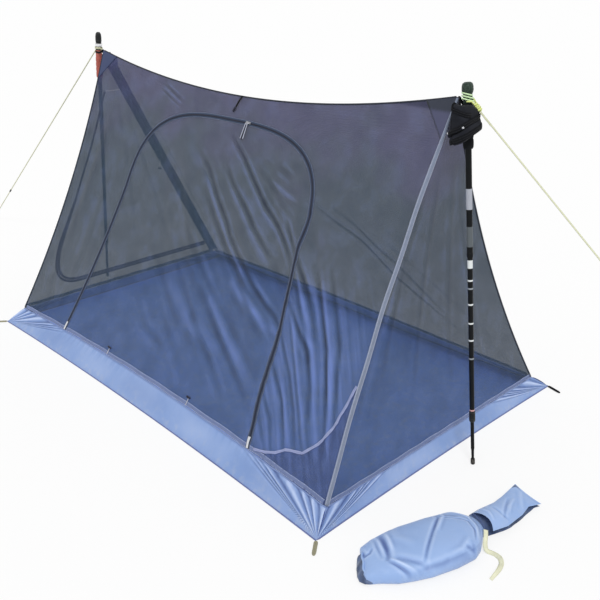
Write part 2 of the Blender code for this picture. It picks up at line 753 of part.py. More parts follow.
class Pole:
    """One trekking pole of three telescoping tubes, standing outside its end of the tent."""

    def __init__(self, end, name, top_out, foot_out, proud, drawn, head, neck_length):
        self.end = end
        self.name = name
        foot = Vector((end * (FLOOR_LENGTH / 2 + foot_out), 0.0, 0.0))
        top = apex(end) + Vector((end * top_out, 0.0, proud))
        self.length = (top - foot).length
        self.head_r, self.head_length = head
        self.neck_foot = self.length - self.head_length - neck_length
        up = (top - foot).normalized()
        sole = abs(up.x) * LOWER_TUBE_R * 1.2
        self.frame = axis_frame(foot + up * (sole / up.z + GAP), top)
        self.extra = drawn

    def at(self, height, off=Vector((0.0, 0.0, 0.0))):
        """A place in the pole's own frame, in world coordinates."""
        return self.frame @ (Vector((0.0, 0.0, height)) + off)

    def turned(self, part, profile, finish_name, steps=18, closed=False):
        """A turned piece of this pole, in its place."""
        body = lathe(f"pole_{self.name}_{part}", profile, finish_name, steps, closed)
        body.matrix_world = self.frame
        return body

    def build(self):
        """All the pieces, from the foot up."""
        self.build_lower()
        self.build_middle()
        self.build_upper()
        self.build_grip()

    def build_lower(self):
        """The rubber foot and the lower tube that slides in the middle one."""
        wide = LOWER_TUBE_R * 1.2
        self.turned("foot", [(0.0, 0.0), (wide * 0.85, 0.0), (wide, 0.002), (wide, FOOT_LENGTH - 0.003),
                             (wide * 0.9, FOOT_LENGTH), (0.0, FOOT_LENGTH)], "rubber")
        low = FOOT_LENGTH + GAP
        high = LOCK_FOOT + self.extra + LOCK_LENGTH + TUBE_OVERLAP
        self.turned("lower_tube", [(0.0, low), (LOWER_TUBE_R * 0.72, low), (LOWER_TUBE_R * 0.8, low + 0.030),
                                   (LOWER_TUBE_R, low + 0.038), (LOWER_TUBE_R, high), (0.0, high)],
                    "black_tube")

    def build_middle(self):
        """The middle tube, with the twist lock that grips the lower tube."""
        low = LOCK_FOOT + self.extra
        high = UPPER_TUBE_FOOT + self.extra + TUBE_OVERLAP
        bore = LOWER_TUBE_R + SLIDING_CLEARANCE
        shell = low + LOCK_LENGTH
        self.turned("lock", [(bore, low), (LOCK_R * 0.86, low), (LOCK_R, low + 0.004),
                             (LOCK_R, shell - 0.009), (LOCK_R * 0.93, shell - 0.006),
                             (LOCK_R, shell - 0.004), (LOCK_R * 0.90, shell), (bore, shell)],
                    "black_plastic", closed=True)
        self.turned("middle_tube", [(MIDDLE_TUBE_R, shell + GAP), (MIDDLE_TUBE_R, high),
                                    (MIDDLE_TUBE_R - TUBE_WALL, high),
                                    (MIDDLE_TUBE_R - TUBE_WALL, shell + GAP)], "black_tube", closed=True)

    def build_upper(self):
        """The upper tube, with its rolled foot ring, up into the grip."""
        low = UPPER_TUBE_FOOT + self.extra
        high = self.neck_foot - 0.010
        bore = MIDDLE_TUBE_R + SLIDING_CLEARANCE
        collar = UPPER_TUBE_R + 0.0008
        self.turned("upper_tube", [(bore, low), (collar, low), (collar, low + 0.012),
                                   (UPPER_TUBE_R, low + 0.013), (UPPER_TUBE_R, high), (bore, high)],
                    "black_tube", closed=True)

    def build_grip(self):
        """The moulded grip over the upper tube, and the head that the tent hangs from."""
        high = self.neck_foot
        low = high - GRIP_LENGTH
        bore = UPPER_TUBE_R + GAP
        ribs = 4
        pitch = (high - 0.030 - low - 0.008) / ribs
        outer = [(GRIP_R * 0.80, low), (GRIP_R * 0.95, low + 0.004)]
        for k in range(ribs):
            start = low + 0.008 + pitch * k
            outer += [(GRIP_R, start + pitch * 0.2), (GRIP_R, start + pitch * 0.7),
                      (GRIP_R * 0.92, start + pitch * 0.95)]
        outer += [(GRIP_R * 0.94, high - 0.018), (GRIP_R * 0.90, high - GAP)]
        colour = "grip_foam" if self.end > 0 else "grip_cork"
        self.turned("grip", [(bore, low)] + outer + [(bore, high - GAP)], colour, closed=True)
        self.build_head()

    def build_head(self):
        """The head and its neck in one moulding; the far pole's has a groove with a bright ring."""
        foot = self.neck_foot
        low = self.length - self.head_length
        tall = self.head_length
        profile = [(0.0, foot), (NECK_R * 0.95, foot), (NECK_R, foot + 0.001)]
        if self.end < 0:
            groove = NECK_R - 0.003
            ring_foot = low - RING_LENGTH
            profile += [(NECK_R, ring_foot - GAP), (groove, ring_foot - GAP), (groove, low)]
            inner = groove + GAP
            self.turned("grip_ring", [(inner, ring_foot), (RING_R * 0.96, ring_foot),
                                      (RING_R, ring_foot + RING_LENGTH * 0.3),
                                      (RING_R, ring_foot + RING_LENGTH * 0.7),
                                      (RING_R * 0.96, low - GAP), (inner, low - GAP)], "silver", closed=True)
        else:
            profile.append((NECK_R, low - 0.001))
        profile += [(self.head_r * 0.88, low), (self.head_r, low + tall * 0.25),
                    (self.head_r * 0.98, low + tall * 0.60), (self.head_r * 0.84, low + tall * 0.86),
                    (self.head_r * 0.5, self.length - 0.0008), (0.0, self.length)]
        self.turned("grip_head", profile, "black_plastic")


def make_wraps(pole, turns, finish_name):
    """The cord wound round a pole's neck, one unbroken tube; prints its least gap to itself."""
    name = f"cord_wraps_{pole.name}"
    radius = NECK_R + WRAP_R + GAP
    pitch = WRAP_R * 2 + 0.0009
    per_turn = 18
    foot = pole.neck_foot + WRAP_R + 0.0012
    spots = []
    for k in range(turns * per_turn + 1):
        angle = math.tau * k / per_turn
        spots.append(pole.at(foot + pitch * k / per_turn,
                             Vector((radius * math.cos(angle), radius * math.sin(angle), 0.0))))
    least = min((spots[k] - spots[k + per_turn]).length for k in range(len(spots) - per_turn))
    print(f"{name}: least gap between turns {1000 * (least - 2 * WRAP_R):.2f} mm")
    tube(name, spots, WRAP_R, finish_name)


def straight(first, second, count):
    """Points along a straight stretch."""
    return [first.lerp(second, k / (count - 1)) for k in range(count)]


def make_guy(pole, peg, tensioner_share, knot_length):
    """A guyline from its pole's wraps to the ground, its knot, and the tensioner on it."""
    start = pole.at(pole.neck_foot + 0.006)
    level = Vector((peg.x - start.x, peg.y - start.y, 0.0)).normalized()
    reach = 2 * GAP + KNOT_R * 0.68 if knot_length else -GAP
    seat = start + level * (NECK_R + 2 * WRAP_R + reach)
    heading = (peg - seat).normalized()
    side = heading.cross(Vector((0.0, 0.0, 1.0))).normalized()
    turn = Matrix((side, heading.cross(side), heading)).transposed().to_4x4()
    if knot_length:
        profile = [(0.0, -0.004), (KNOT_R * 0.7, -0.0025), (KNOT_R, 0.002), (KNOT_R * 0.82, knot_length * 0.35),
                   (KNOT_R * 0.95, knot_length * 0.55), (KNOT_R * 0.6, knot_length * 0.9),
                   (GUY_R * 1.5, knot_length - GAP), (0.0, knot_length - GAP)]
        knot = lathe(f"guy_knot_{pole.name}", profile, "green_cord", 14)
        knot.matrix_world = Matrix.Translation(seat) @ turn
    first = seat + heading * knot_length
    tube(f"guyline_{pole.name}", straight(first, peg, 12), GUY_R, "pale_cord")
    middle = first.lerp(peg, tensioner_share)
    bore = GUY_R + GAP
    half = TENSIONER_LENGTH / 2
    body = lathe(f"tensioner_{pole.name}",
                 [(bore, -half), (TENSIONER_R * 0.8, -half), (TENSIONER_R, -half * 0.6),
                  (TENSIONER_R * 0.7, 0.0), (TENSIONER_R, half * 0.6), (TENSIONER_R * 0.8, half), (bore, half)],
                 "black_plastic", 14, closed=True)
    body.matrix_world = Matrix.Translation(middle) @ turn
    print(f"guyline_{pole.name}: {(peg - first).length:.3f} m from {tuple(round(c, 4) for c in first)}, "
          f"along {tuple(round(c, 5) for c in heading)}")


def make_peak_loop(pole):
    """The webbing belt that ties a peak to its pole: round the grip, and back to the cap's tip."""
    up = pole.frame.to_3x3().col[2]
    peak = apex(pole.end)
    height = pole.neck_foot - 0.008
    centre = pole.at(height)
    reach = peak - centre
    lift = up * (reach.dot(up) - PEAK_LOOP_WIDTH / 4)
    reach -= up * reach.dot(up)
    distance = reach.length - PEAK_LOOP_TIP - NET_THICK * 1.5
    ahead = reach.normalized()
    across = up.cross(ahead).normalized()
    big = GRIP_R * 0.93 + GAP + PEAK_LOOP_THICK / 2
    small = PEAK_LOOP_TIP
    lean = math.acos((big - small) / distance)
    spots = []
    ups = []
    turns = 16
    for k in range(turns + 1):
        angle = lerp(lean, math.tau - lean, k / turns)
        out = ahead * math.cos(angle) + across * math.sin(angle)
        spots.append(centre + out * big)
        ups.append(out)
    tips = []
    for k in range(5):
        angle = lerp(-lean, lean, k / 4)
        out = ahead * math.cos(angle) + across * math.sin(angle)
        tips.append(centre + ahead * distance + out * small + lift)
        ups.append(out)
    spots += [spots[-1].lerp(tips[0] - lift, 0.5)] + tips + [spots[0].lerp(tips[-1] - lift, 0.5)]
    ups.insert(turns + 1, ups[turns])
    ups.append(ups[0])
    ribbon(f"peak_loop_{pole.name}", spots, ups, PEAK_LOOP_WIDTH, PEAK_LOOP_THICK, "black_webbing", closed=True)


def make_corner_loops():
    """The webbing loop at each floor corner, lying on the ground."""
    for end, end_name in ((1, "near"), (-1, "far")):
        for side, side_name in ((-1, "front"), (1, "back")):
            corner = Vector((end * FLOOR_LENGTH / 2, side * FLOOR_WIDTH / 2, LOOP_R))
            out = Vector((end * 0.62, side * 0.78, 0.0)).normalized()
            if (end, side) == (1, 1):
                out = Vector((0.97, -0.24, 0.0)).normalized()
            across = Vector((-out.y, out.x, 0.0))
            start = corner + out * (HEM_R + LOOP_R + LOOP_WIDTH / 2 + GAP / 2)
            spots = []
            for k in range(20):
                angle = math.tau * k / 20
                ahead = LOOP_LENGTH - LOOP_WIDTH if math.cos(angle) > 0 else 0.0
                spots.append(start + out * (ahead + LOOP_WIDTH / 2 * math.cos(angle))
                             + across * (LOOP_WIDTH / 2 * math.sin(angle)))
            colour = "black_webbing" if (end, side) == (1, 1) else "olive_webbing"
            tube(f"corner_loop_{end_name}_{side_name}", spots, LOOP_R, colour, closed=True)


def make_toggle(name, seat, down, finish_name="black_plastic"):
    """A toggle hanging on its short cord from a seam."""
    cord = 0.030
    profile = [(0.0, 0.0), (TOGGLE_CORD_R, 0.0), (TOGGLE_CORD_R, cord), (TOGGLE_R * 0.8, cord + 0.0015),
               (TOGGLE_R, cord + 0.004), (TOGGLE_R, cord + TOGGLE_LENGTH - 0.004),
               (TOGGLE_R * 0.8, cord + TOGGLE_LENGTH - 0.0015), (0.0, cord + TOGGLE_LENGTH)]
    body = lathe(name, profile, finish_name, 12)
    body.matrix_world = axis_frame(seat, seat + down)
    return body


def make_ridge_tie():
    """The toggle on its cord that hangs from the ridge over the front door."""
    place = side_surface(-1)
    spots, ups = on_surface([Vector((0.0, SIDE_RISE)), Vector((-0.008, SIDE_RISE - 0.07))], place)
    seat = spots[0] + ups[1] * (RIDGE_R + GAP + TOGGLE_CORD_R)
    make_toggle("ridge_tie", seat, (spots[1] + ups[1] * (NET_THICK + TOGGLE_R + 0.002) - seat).normalized())


def make_gusset_tape():
    """The pale tape that binds the doubled net in the near front corner."""
    place = side_surface(-1)
    spots, ups = on_surface(gusset_line(), place)
    lift = NET_THICK / 2 + ZIP_SEAT + GUSSET_TAPE[1] / 2
    lifted = [spot + up * lift for spot, up in zip(spots, ups)]
    ribbon("gusset_tape", lifted, ups, GUSSET_TAPE[0], GUSSET_TAPE[1], "light_tape")


def make_slider():
    """The front zip's slider at the top of the arch, and the two-strip pull that hangs from it."""
    place = side_surface(-1)
    spot = Vector((SLIDER_REST_X, DOOR_HEIGHT))
    spots, ups = on_surface([spot], place)
    up = ups[0]
    along = Vector((1.0, 0.0, 0.0))
    across = up.cross(along).normalized()
    seat = spots[0] + up * (ZIP_THICK / 2 + GAP + ZIP_SLIDER.z / 2)
    mesh_data = bmesh.new()
    bmesh.ops.create_cube(mesh_data, size=1.0)
    bmesh.ops.scale(mesh_data, vec=ZIP_SLIDER, verts=mesh_data.verts)
    body = from_bmesh("zip_slider", mesh_data, "zip_metal", smooth=False)
    turn = Matrix((along, across, up)).transposed().to_4x4()
    body.matrix_world = Matrix.Translation(seat) @ turn
    round_off = body.modifiers.new("edges", "BEVEL")
    round_off.width = 0.0012
    round_off.segments = 2

    hang = (side_rim(-1, 0.5) - ridge(0.5)).normalized()
    top = seat + up * (ZIP_SLIDER.z / 2 + GAP + 0.0014)
    strip = straight(top - hang * 0.004, top + hang * PULL_LENGTH, 6)
    ribbon("zip_pull", strip, [up] * len(strip), 0.0095, 0.0020, "light_tape")
    print(f"zip_slider at {tuple(round(c, 4) for c in seat)}, pull pivot {tuple(round(c, 4) for c in top)}")


def make_strap(pole):
    """The near pole's padded wrist strap, bundled round the grip."""
    middle = pole.neck_foot - STRAP_BUNDLE.z - 0.016
    mesh_data = bmesh.new()
    bmesh.ops.create_uvsphere(mesh_data, u_segments=20, v_segments=12, radius=1.0)
    for vert in mesh_data.verts:
        lobe = 1.0 + 0.07 * math.sin(3.0 * math.atan2(vert.co.y, vert.co.x) + 0.6)
        vert.co = Vector((vert.co.x * STRAP_BUNDLE.x * lobe, vert.co.y * STRAP_BUNDLE.y * lobe,
                          math.copysign(abs(vert.co.z) ** 0.8, vert.co.z) * STRAP_BUNDLE.z))
    body = from_bmesh("wrist_strap", mesh_data, "black_webbing")
    body.matrix_world = pole.frame @ Matrix.Translation(Vector((0.004, -0.020, middle)))
    bore = lathe("wrist_strap_bore", [(0.0, -0.2), (GRIP_R + GAP + 0.0005, -0.2),
                                      (GRIP_R + GAP + 0.0005, 0.2), (0.0, 0.2)], "black_webbing", 20)
    bore.matrix_world = pole.frame @ Matrix.Translation(Vector((0.0, 0.0, middle)))
    bore.hide_render = True
    bore.display_type = "WIRE"
    cut = body.modifiers.new("grip bore", "BOOLEAN")
    cut.object = bore
    cut.operation = "DIFFERENCE"
    return body


def make_sack():
    """The stuff sack with its limp hood and strap, lying on the ground."""
    mesh_data = bmesh.new()
    rows, around = 16, 22
    rings = []
    for i in range(rows + 1):
        t = i / rows
        end_round = min(1.0, (math.sin(math.pi * min(t, 1 - t) * 1.5) if min(t, 1 - t) < 1 / 3 else 1.0))
        end_round = max(end_round, 0.05) ** 0.6
        waist = 0.86 if t > 0.86 else 1.0
        ring = []
        for k in range(around):
            angle = math.tau * k / around
            dent = 1.0 - 0.07 * math.exp(-((t - 0.30 - 0.05 * math.cos(angle)) / 0.05) ** 2)
            dent -= 0.05 * math.exp(-((t - 0.68 + 0.08 * math.sin(angle)) / 0.045) ** 2)
            reach = end_round * waist * dent
            y = SACK_WIDTH / 2 * reach * math.copysign(abs(math.cos(angle)) ** 0.85, math.cos(angle))
            z = SACK_HEIGHT / 2 * reach * math.copysign(abs(math.sin(angle)) ** 0.8, math.sin(angle))
            ring.append(mesh_data.verts.new(((t - 0.5) * SACK_LENGTH, y, max(z, -SACK_HEIGHT * 0.42))))
        rings.append(ring)
    for first, second in zip(rings, rings[1:]):
        for k in range(around):
            mesh_data.faces.new((first[k], first[(k + 1) % around], second[(k + 1) % around], second[k]))
    mesh_data.faces.new(rings[0])
    mesh_data.faces.new(rings[-1])
    lift = SACK_HEIGHT * 0.42 + GAP
    turn = Matrix.Translation(SACK_MIDDLE + Vector((0, 0, lift))) @ Matrix.Rotation(SACK_TURN, 4, "Z")
    body = from_bmesh("sack_body", mesh_data, "wall_nylon")
    body.matrix_world = turn

    hood = bmesh.new()
    columns, steps = 10, 12
    grid = []
    for i in range(steps + 1):
        t = i / steps
        row = []
        for k in range(columns + 1):
            s = k / columns - 0.5
            wide = HOOD_WIDTH * lerp(0.80, 1.0, t)
            z = 0.030 * math.cos(math.pi * s) * lerp(1.0, 0.35, t) + 0.012 * math.sin(math.tau * (t - 0.1))
            row.append(hood.verts.new((SACK_LENGTH / 2 + GAP + t * HOOD_LENGTH, s * wide - 0.025 * t,
                                       z + 0.016 - lift)))
        grid.append(row)
    for first, second in zip(grid, grid[1:]):
        for k in range(columns):
            hood.faces.new((first[k], first[k + 1], second[k + 1], second[k]))
    flap = thicken(from_bmesh("sack_hood", hood, "wall_nylon"), HOOD_THICK)
    flap.matrix_world = turn

    start = Vector((SACK_LENGTH / 2 + 0.0008, -0.006, -0.0102))
    bend = Vector((SACK_LENGTH / 2 + 0.060, 0.010, STRAP_THICK - lift))
    finish_spot = Vector((SACK_LENGTH / 2 + 0.050, -0.120, STRAP_THICK - lift))
    spots = []
    for k in range(14):
        t = k / 13
        spots.append(turn @ start.lerp(bend, t).lerp(bend.lerp(finish_spot, t), t))
    ribbon("sack_strap", spots, [Vector((0.0, 0.0, 1.0))] * len(spots), STRAP_WIDTH, STRAP_THICK, "pale_cord")


def main():
    """Build the whole tent."""
    clear_scene()
    make_floor()
    make_seams()
    make_canopy()
    near = Pole(1, "near", POLE_TOP_OUT_NEAR, POLE_FOOT_OUT_NEAR, POLE_PROUD_NEAR, 0.0,
                NEAR_HEAD, NECK_LENGTH_NEAR)
    far = Pole(-1, "far", POLE_TOP_OUT_FAR, POLE_FOOT_OUT_FAR, POLE_PROUD_FAR, LOWER_DRAWN_FAR,
               FAR_HEAD, NECK_LENGTH_FAR)
    for pole in (near, far):
        pole.build()
        make_peak_loop(pole)
    make_wraps(near, 4, "green_cord")
    make_wraps(far, 2, "pale_cord")
    make_guy(near, NEAR_GUY_PEG, 0.72, 0.036)
    make_guy(far, FAR_GUY_PEG, 0.785, 0.0)
    make_strap(near)
    make_corner_loops()
    make_ridge_tie()
    make_gusset_tape()
    make_slider()
    make_sack()


main()
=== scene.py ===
"""The looks of the mosquito net tent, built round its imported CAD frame.

Each sub-assembly is a class: it holds its sizes as fields, builds its meshes in the frame's metres, dresses
them in a procedural finish and says which body each piece rides on.
"""

from __future__ import annotations

import sys

import json
import logging
import math
from dataclasses import dataclass
from enum import Enum
from functools import cache, partial
from typing import Callable, NamedTuple, Sequence

import bmesh
import bpy
import numpy as np
from mathutils import Matrix, Vector

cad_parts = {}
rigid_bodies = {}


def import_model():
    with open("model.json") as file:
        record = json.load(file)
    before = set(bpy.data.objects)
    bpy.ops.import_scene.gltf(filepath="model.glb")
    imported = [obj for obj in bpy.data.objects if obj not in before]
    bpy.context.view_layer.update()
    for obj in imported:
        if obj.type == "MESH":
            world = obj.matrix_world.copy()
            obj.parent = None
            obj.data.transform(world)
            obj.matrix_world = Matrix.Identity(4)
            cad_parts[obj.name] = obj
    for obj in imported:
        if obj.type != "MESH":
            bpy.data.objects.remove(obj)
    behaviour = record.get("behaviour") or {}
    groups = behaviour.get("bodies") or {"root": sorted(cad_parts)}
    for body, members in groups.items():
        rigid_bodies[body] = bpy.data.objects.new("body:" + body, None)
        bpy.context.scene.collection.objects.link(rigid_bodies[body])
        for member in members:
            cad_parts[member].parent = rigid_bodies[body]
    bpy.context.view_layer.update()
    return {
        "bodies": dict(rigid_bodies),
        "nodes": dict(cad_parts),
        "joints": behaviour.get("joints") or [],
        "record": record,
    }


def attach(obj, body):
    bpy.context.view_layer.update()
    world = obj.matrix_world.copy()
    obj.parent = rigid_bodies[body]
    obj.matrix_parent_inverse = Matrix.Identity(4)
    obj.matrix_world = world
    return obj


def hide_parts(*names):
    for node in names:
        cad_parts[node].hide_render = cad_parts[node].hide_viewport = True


LOG = logging.getLogger("tent")
MM = 0.001
UP = Vector((0.0, 0.0, 1.0))
Array = np.ndarray
Colour = tuple[float, float, float, float]
Spot = tuple[float, float, float]
Flat = tuple[float, float]
Piece = bpy.types.Object
Material = bpy.types.Material
Node = bpy.types.Node
Tree = bpy.types.NodeTree
Inputs = dict[str | int, object]
Pair = tuple[Array, Array]
Line = Callable[[Array], Array]
Surface = Callable[[Array, Array], Pair]


class Body(Enum):
    """The CAD bodies that the pieces ride on."""

    TENT = "tent"
    FRONT_DOOR = "front_door"
    FAR_DOOR = "far_door"
    SLIDER = "zip_slider"
    PULL = "zip_pull"
    SACK = "stuff_sack"


class Slot(Enum):
    """The record's material slots."""

    NETTING = "netting"
    FLOOR = "floor_nylon"
    WALL = "wall_nylon"
    DARK_TAPE = "dark_tape"
    LIGHT_TAPE = "light_tape"
    ZIP_COIL = "zip_coil"
    ZIP_METAL = "zip_metal"
    PLASTIC = "moulded_plastic"
    BLACK_WEBBING = "black_webbing"
    OLIVE_WEBBING = "olive_webbing"
    GREEN_CORD = "green_cord"
    PALE_CORD = "pale_cord"


class Side(Enum):
    """The long sides of the tent, as the sign of y."""

    FRONT = -1
    BACK = 1


class End(Enum):
    """The short ends of the tent, as the sign of x."""

    FAR = -1
    NEAR = 1


def tint(red: float, green: float, blue: float) -> Colour:
    """A colour in linear light with full alpha, from display values of 0 to 255."""
    shares = (value / 255.0 for value in (red, green, blue))
    return (*(s / 12.92 if s <= 0.04045 else ((s + 0.055) / 1.055) ** 2.4 for s in shares), 1.0)


def deeper(colour: Colour, share: float) -> Colour:
    """A colour with a share of its light left."""
    return (*(value * share for value in colour[:3]), 1.0)


class Value:
    """A number, colour or vector that changes over a surface; maths on it adds nodes."""

    def __init__(self, graph: Graph, socket: bpy.types.NodeSocket) -> None:
        """Keep the socket, and the graph that it is in."""
        self.graph = graph
        self.socket = socket

    def __add__(self, other: object) -> Value:
        """The sum."""
        return self.graph.calc("ADD", self, other)

    def __sub__(self, other: object) -> Value:
        """The difference."""
        return self.graph.calc("SUBTRACT", self, other)

    def __mul__(self, other: object) -> Value:
        """The product."""
        return self.graph.calc("MULTIPLY", self, other)

    def __truediv__(self, other: object) -> Value:
        """The quotient."""
        return self.graph.calc("DIVIDE", self, other)

    def clamp(self) -> Value:
        """The same value, which its maths node now keeps from 0 to 1."""
        self.socket.node.use_clamp = True
        return self


class Graph:
    """A node tree under construction."""

    def __init__(self, tree: Tree) -> None:
        """Keep the tree that the nodes go into."""
        self.tree = tree

    def add(self, kind: str, **settings: object) -> Node:
        """A new node of a kind, given without its ShaderNode, with its settings."""
        node = self.tree.nodes.new(kind if kind.startswith("Node") else "ShaderNode" + kind)
        for key, value in settings.items():
            setattr(node, key, value)
        return node

    def fill(self, node: Node, inputs: Inputs) -> None:
        """Link values into a node's inputs, or set plain ones there."""
        for key, value in inputs.items():
            if isinstance(value, Value):
                self.tree.links.new(value.socket, node.inputs[key])
            else:
                node.inputs[key].default_value = value

    def value(self, kind: str, inputs: Inputs, output: str | int = 0, **settings: object) -> Value:
        """One output of a new node.

        Args:
            kind: The node's kind.
            inputs: What goes into its inputs.
            output: Which of its outputs is wanted.
            **settings: Attributes to set on the node.

        Returns:
            The output's value.
        """
        node = self.add(kind, **settings)
        self.fill(node, inputs)
        return Value(self, node.outputs[output])

    def calc(self, operation: str, first: object, second: object = 0.0) -> Value:
        """The result of a maths node on one or two values."""
        return self.value("Math", {0: first, 1: second}, operation=operation)

    def spread(self, value: Value, low: float, high: float, start: float = 0.0, end: float = 1.0) -> Value:
        """A value carried from between low and high to between start and end, with soft ends."""
        inputs = {0: value, 1: low, 2: high, 3: start, 4: end}
        return self.value("MapRange", inputs, interpolation_type="SMOOTHSTEP")

    def blend(self, share: Value, first: object, second: object) -> Value:
        """Two colours mixed by a share."""
        return self.value("Mix", {0: share, 6: first, 7: second}, 2, data_type="RGBA")

    def noise(self, vector: Value, scale: float, detail: float = 3.0) -> Value:
        """A cloudy value from 0 to 1."""
        return self.value("TexNoise", {"Vector": vector, "Scale": scale, "Detail": detail})

    def bump(self, height: Value, strength: float, distance: float) -> Value:
        """The relief of a height, as a surface's normal."""
        return self.value("Bump", {"Height": height, "Strength": strength, "Distance": distance})

    def parts(self, vector: Value) -> list[Value]:
        """The three numbers of a vector."""
        node = self.add("SeparateXYZ")
        self.fill(node, {0: vector})
        return [Value(self, socket) for socket in node.outputs]

    def effect(self, tree: Tree, vector: Value, **numbers: object) -> list[Value]:
        """The results of a shared effect, placed here with its own values."""
        node = self.add("Group", node_tree=tree)
        self.fill(node, {"Vector": vector} | {name.capitalize(): number for name, number in numbers.items()})
        return [Value(self, socket) for socket in node.outputs]


class Effect(Graph):
    """A shared shader effect: a node group that takes a vector and named numbers."""

    def __init__(self, name: str, numbers: Sequence[str], results: Sequence[str]) -> None:
        """Start the group with its named sockets; given holds the values of its inputs, in order."""
        super().__init__(bpy.data.node_groups.new(name, "ShaderNodeTree"))
        sockets = self.tree.interface.new_socket
        sockets("Vector", in_out="INPUT", socket_type="NodeSocketVector")
        for label in numbers:
            sockets(label, in_out="INPUT", socket_type="NodeSocketFloat")
        for label in results:
            sockets(label, in_out="OUTPUT", socket_type="NodeSocketFloat")
        source = self.add("NodeGroupInput")
        self.given = [Value(self, source.outputs[label]) for label in ("Vector", *numbers)]

    def done(self, **results: Value) -> Tree:
        """Put the results out, and give the finished group."""
        self.fill(self.add("NodeGroupOutput"), {name.capitalize(): value for name, value in results.items()})
        return self.tree


@cache
def mesh_holes() -> Tree:
    """Netting: 1 on a thread and 0 in a hole, in rows that step by half a hole."""
    group = Effect("mesh holes", ("Pitch",), ("Thread",))
    spot, pitch = group.given
    x, y, _ = group.parts(spot)
    row = y / pitch
    step = group.calc("MODULO", group.calc("FLOOR", row), 2.0) * 0.5
    across = group.calc("PINGPONG", x / pitch + step, 0.5)
    along = group.calc("PINGPONG", row, 0.5)
    return group.done(thread=group.spread(group.calc("MINIMUM", across, along), 0.05, 0.22, 1.0, 0.0))


@cache
def plain_weave() -> Tree:
    """Woven cloth: the height of its threads and a slow unevenness of its tone."""
    group = Effect("plain weave", ("Pitch",), ("Height", "Tone"))
    spot, pitch = group.given
    x, y, _ = group.parts(spot)
    turns = group.calc("DIVIDE", math.tau, pitch)
    height = group.calc("SINE", x * turns) * group.calc("SINE", y * turns) * 0.5 + 0.5
    tone = group.noise(spot, 9.0, 4.0) * 0.7 + group.noise(spot, 130.0, 2.0) * 0.3
    return group.done(height=height, tone=tone)


@cache
def stitches() -> Tree:
    """A line of stitches along a tape: 1 on the thread, at a distance across from its middle."""
    group = Effect("stitches", ("Line", "Pitch", "Width"), ("Stitch",))
    spot, line, pitch, width = group.given
    x, y, _ = group.parts(spot)
    away = group.calc("ABSOLUTE", group.calc("ABSOLUTE", y) - line)
    on_line = group.calc("LESS_THAN", away, width * 0.5)
    on_thread = group.calc("LESS_THAN", group.calc("FRACT", x / pitch), 0.68)
    return group.done(stitch=on_line * on_thread)


@cache
def braid() -> Tree:
    """A braided cord, from metres along it and turns round it."""
    group = Effect("braid", ("Pitch",), ("Height",))
    spot, pitch = group.given
    x, y, _ = group.parts(spot)
    along = x / pitch
    one, other = (group.calc("SINE", turns * math.tau) for turns in (along + y, along - y))
    return group.done(height=one * other * 0.5 + 0.5)


@cache
def edge_wear() -> Tree:
    """Wear: 1 on a sharp outward edge, broken up by a fine grain."""
    group = Effect("edge wear", ("Amount",), ("Wear",))
    spot, amount = group.given
    edge = group.spread(group.value("NewGeometry", {}, "Pointiness"), 0.52, 0.6)
    grain = group.spread(group.noise(spot, 220.0, 4.0), 0.42, 0.62, 0.2, 1.0)
    return group.done(wear=(edge * grain * amount).clamp())


@cache
def dust() -> Tree:
    """Dust: a cloudy mask, stronger near the ground."""
    group = Effect("dust", ("Height", "Amount"), ("Dust",))
    spot, height, amount = group.given
    low = group.calc("SUBTRACT", 1.0, group.parts(spot)[2] / height).clamp()
    cloud = group.spread(group.noise(spot, 45.0, 5.0), 0.45, 0.75)
    return group.done(dust=(low * cloud * amount).clamp())


class Finish:
    """A procedural finish, whose material is made once."""

    name: str

    @cache
    def material(self) -> Material:
        """The finish as a material."""
        material = bpy.data.materials.new(self.name)
        material.use_nodes = True
        graph = Graph(material.node_tree)
        place = graph.add("TexCoord")
        inputs = self.look(graph, Value(graph, place.outputs["Object"]), Value(graph, place.outputs["UV"]))
        graph.fill(graph.tree.nodes["Principled BSDF"], inputs)
        return material

    def look(self, graph: Graph, spot: Value, pattern: Value) -> Inputs:
        """What goes into the Principled shader's inputs.

        Args:
            graph: The material's graph.
            spot: The place on the object.
            pattern: The place on the piece's flat pattern.

        Returns:
            The inputs by name.
        """
        raise NotImplementedError


@dataclass(frozen=True)
class NetFinish(Finish):
    """Fine mosquito netting, which is partly see-through; its tone attribute paints shade and highlight on
    its folds.
    """

    name: str
    low: Colour
    high: Colour
    solid: float
    light_solid: float = 0.26
    pitch: float = 0.0016

    def look(self, graph: Graph, spot: Value, pattern: Value) -> Inputs:
        """Threads and holes, painted shade in the creases and painted highlight on the folds, thinner at the
        foot.
        """
        z = graph.parts(spot)[2]
        height = z + (graph.noise(spot, 5.5) - 0.5) * 0.62
        ground = graph.blend(graph.spread(height, 0.74, 1.1), self.low, self.high)
        blotch = graph.spread(graph.noise(spot, 13.0, 5.0), 0.3, 0.7, -0.22, 0.3)
        # The tone attribute paints shade into the creases and highlight onto the folds; random blotches are
        # added to it.
        tone = graph.value("Attribute", {}, "Fac", attribute_name="tone") + blotch * 0.55
        dark = graph.calc("MAXIMUM", tone, 0.0)
        pale = graph.calc("MAXIMUM", tone * -1.0, 0.0)
        # Painted shade colour in the creases.
        darker = graph.blend((dark * 0.75).clamp(), ground, tint(18, 22, 44))
        thread, = graph.effect(mesh_holes(), pattern, pitch=self.pitch)
        firm = graph.spread(z, 0.08, 0.62, self.solid - 0.18, self.solid - 0.13)
        # The creases' tone also thickens the net, as it lies doubled there.
        solid = firm + thread * 0.12 + graph.noise(pattern, 260.0, 2.0) * 0.1 + dark * 0.2 + pale * 0.02
        seen = graph.value("LightPath", {}, "Is Camera Ray")
        alpha = graph.value("Mix", {0: seen, 2: self.light_solid, 3: solid.clamp()}, data_type="FLOAT")
        # Painted highlight colour on the folds.
        return {"Base Color": graph.blend((pale * 0.72).clamp(), darker, tint(104, 124, 180)), "Alpha": alpha,
                "Roughness": 0.72, "Specular IOR Level": 0.25, "Sheen Weight": 0.06}


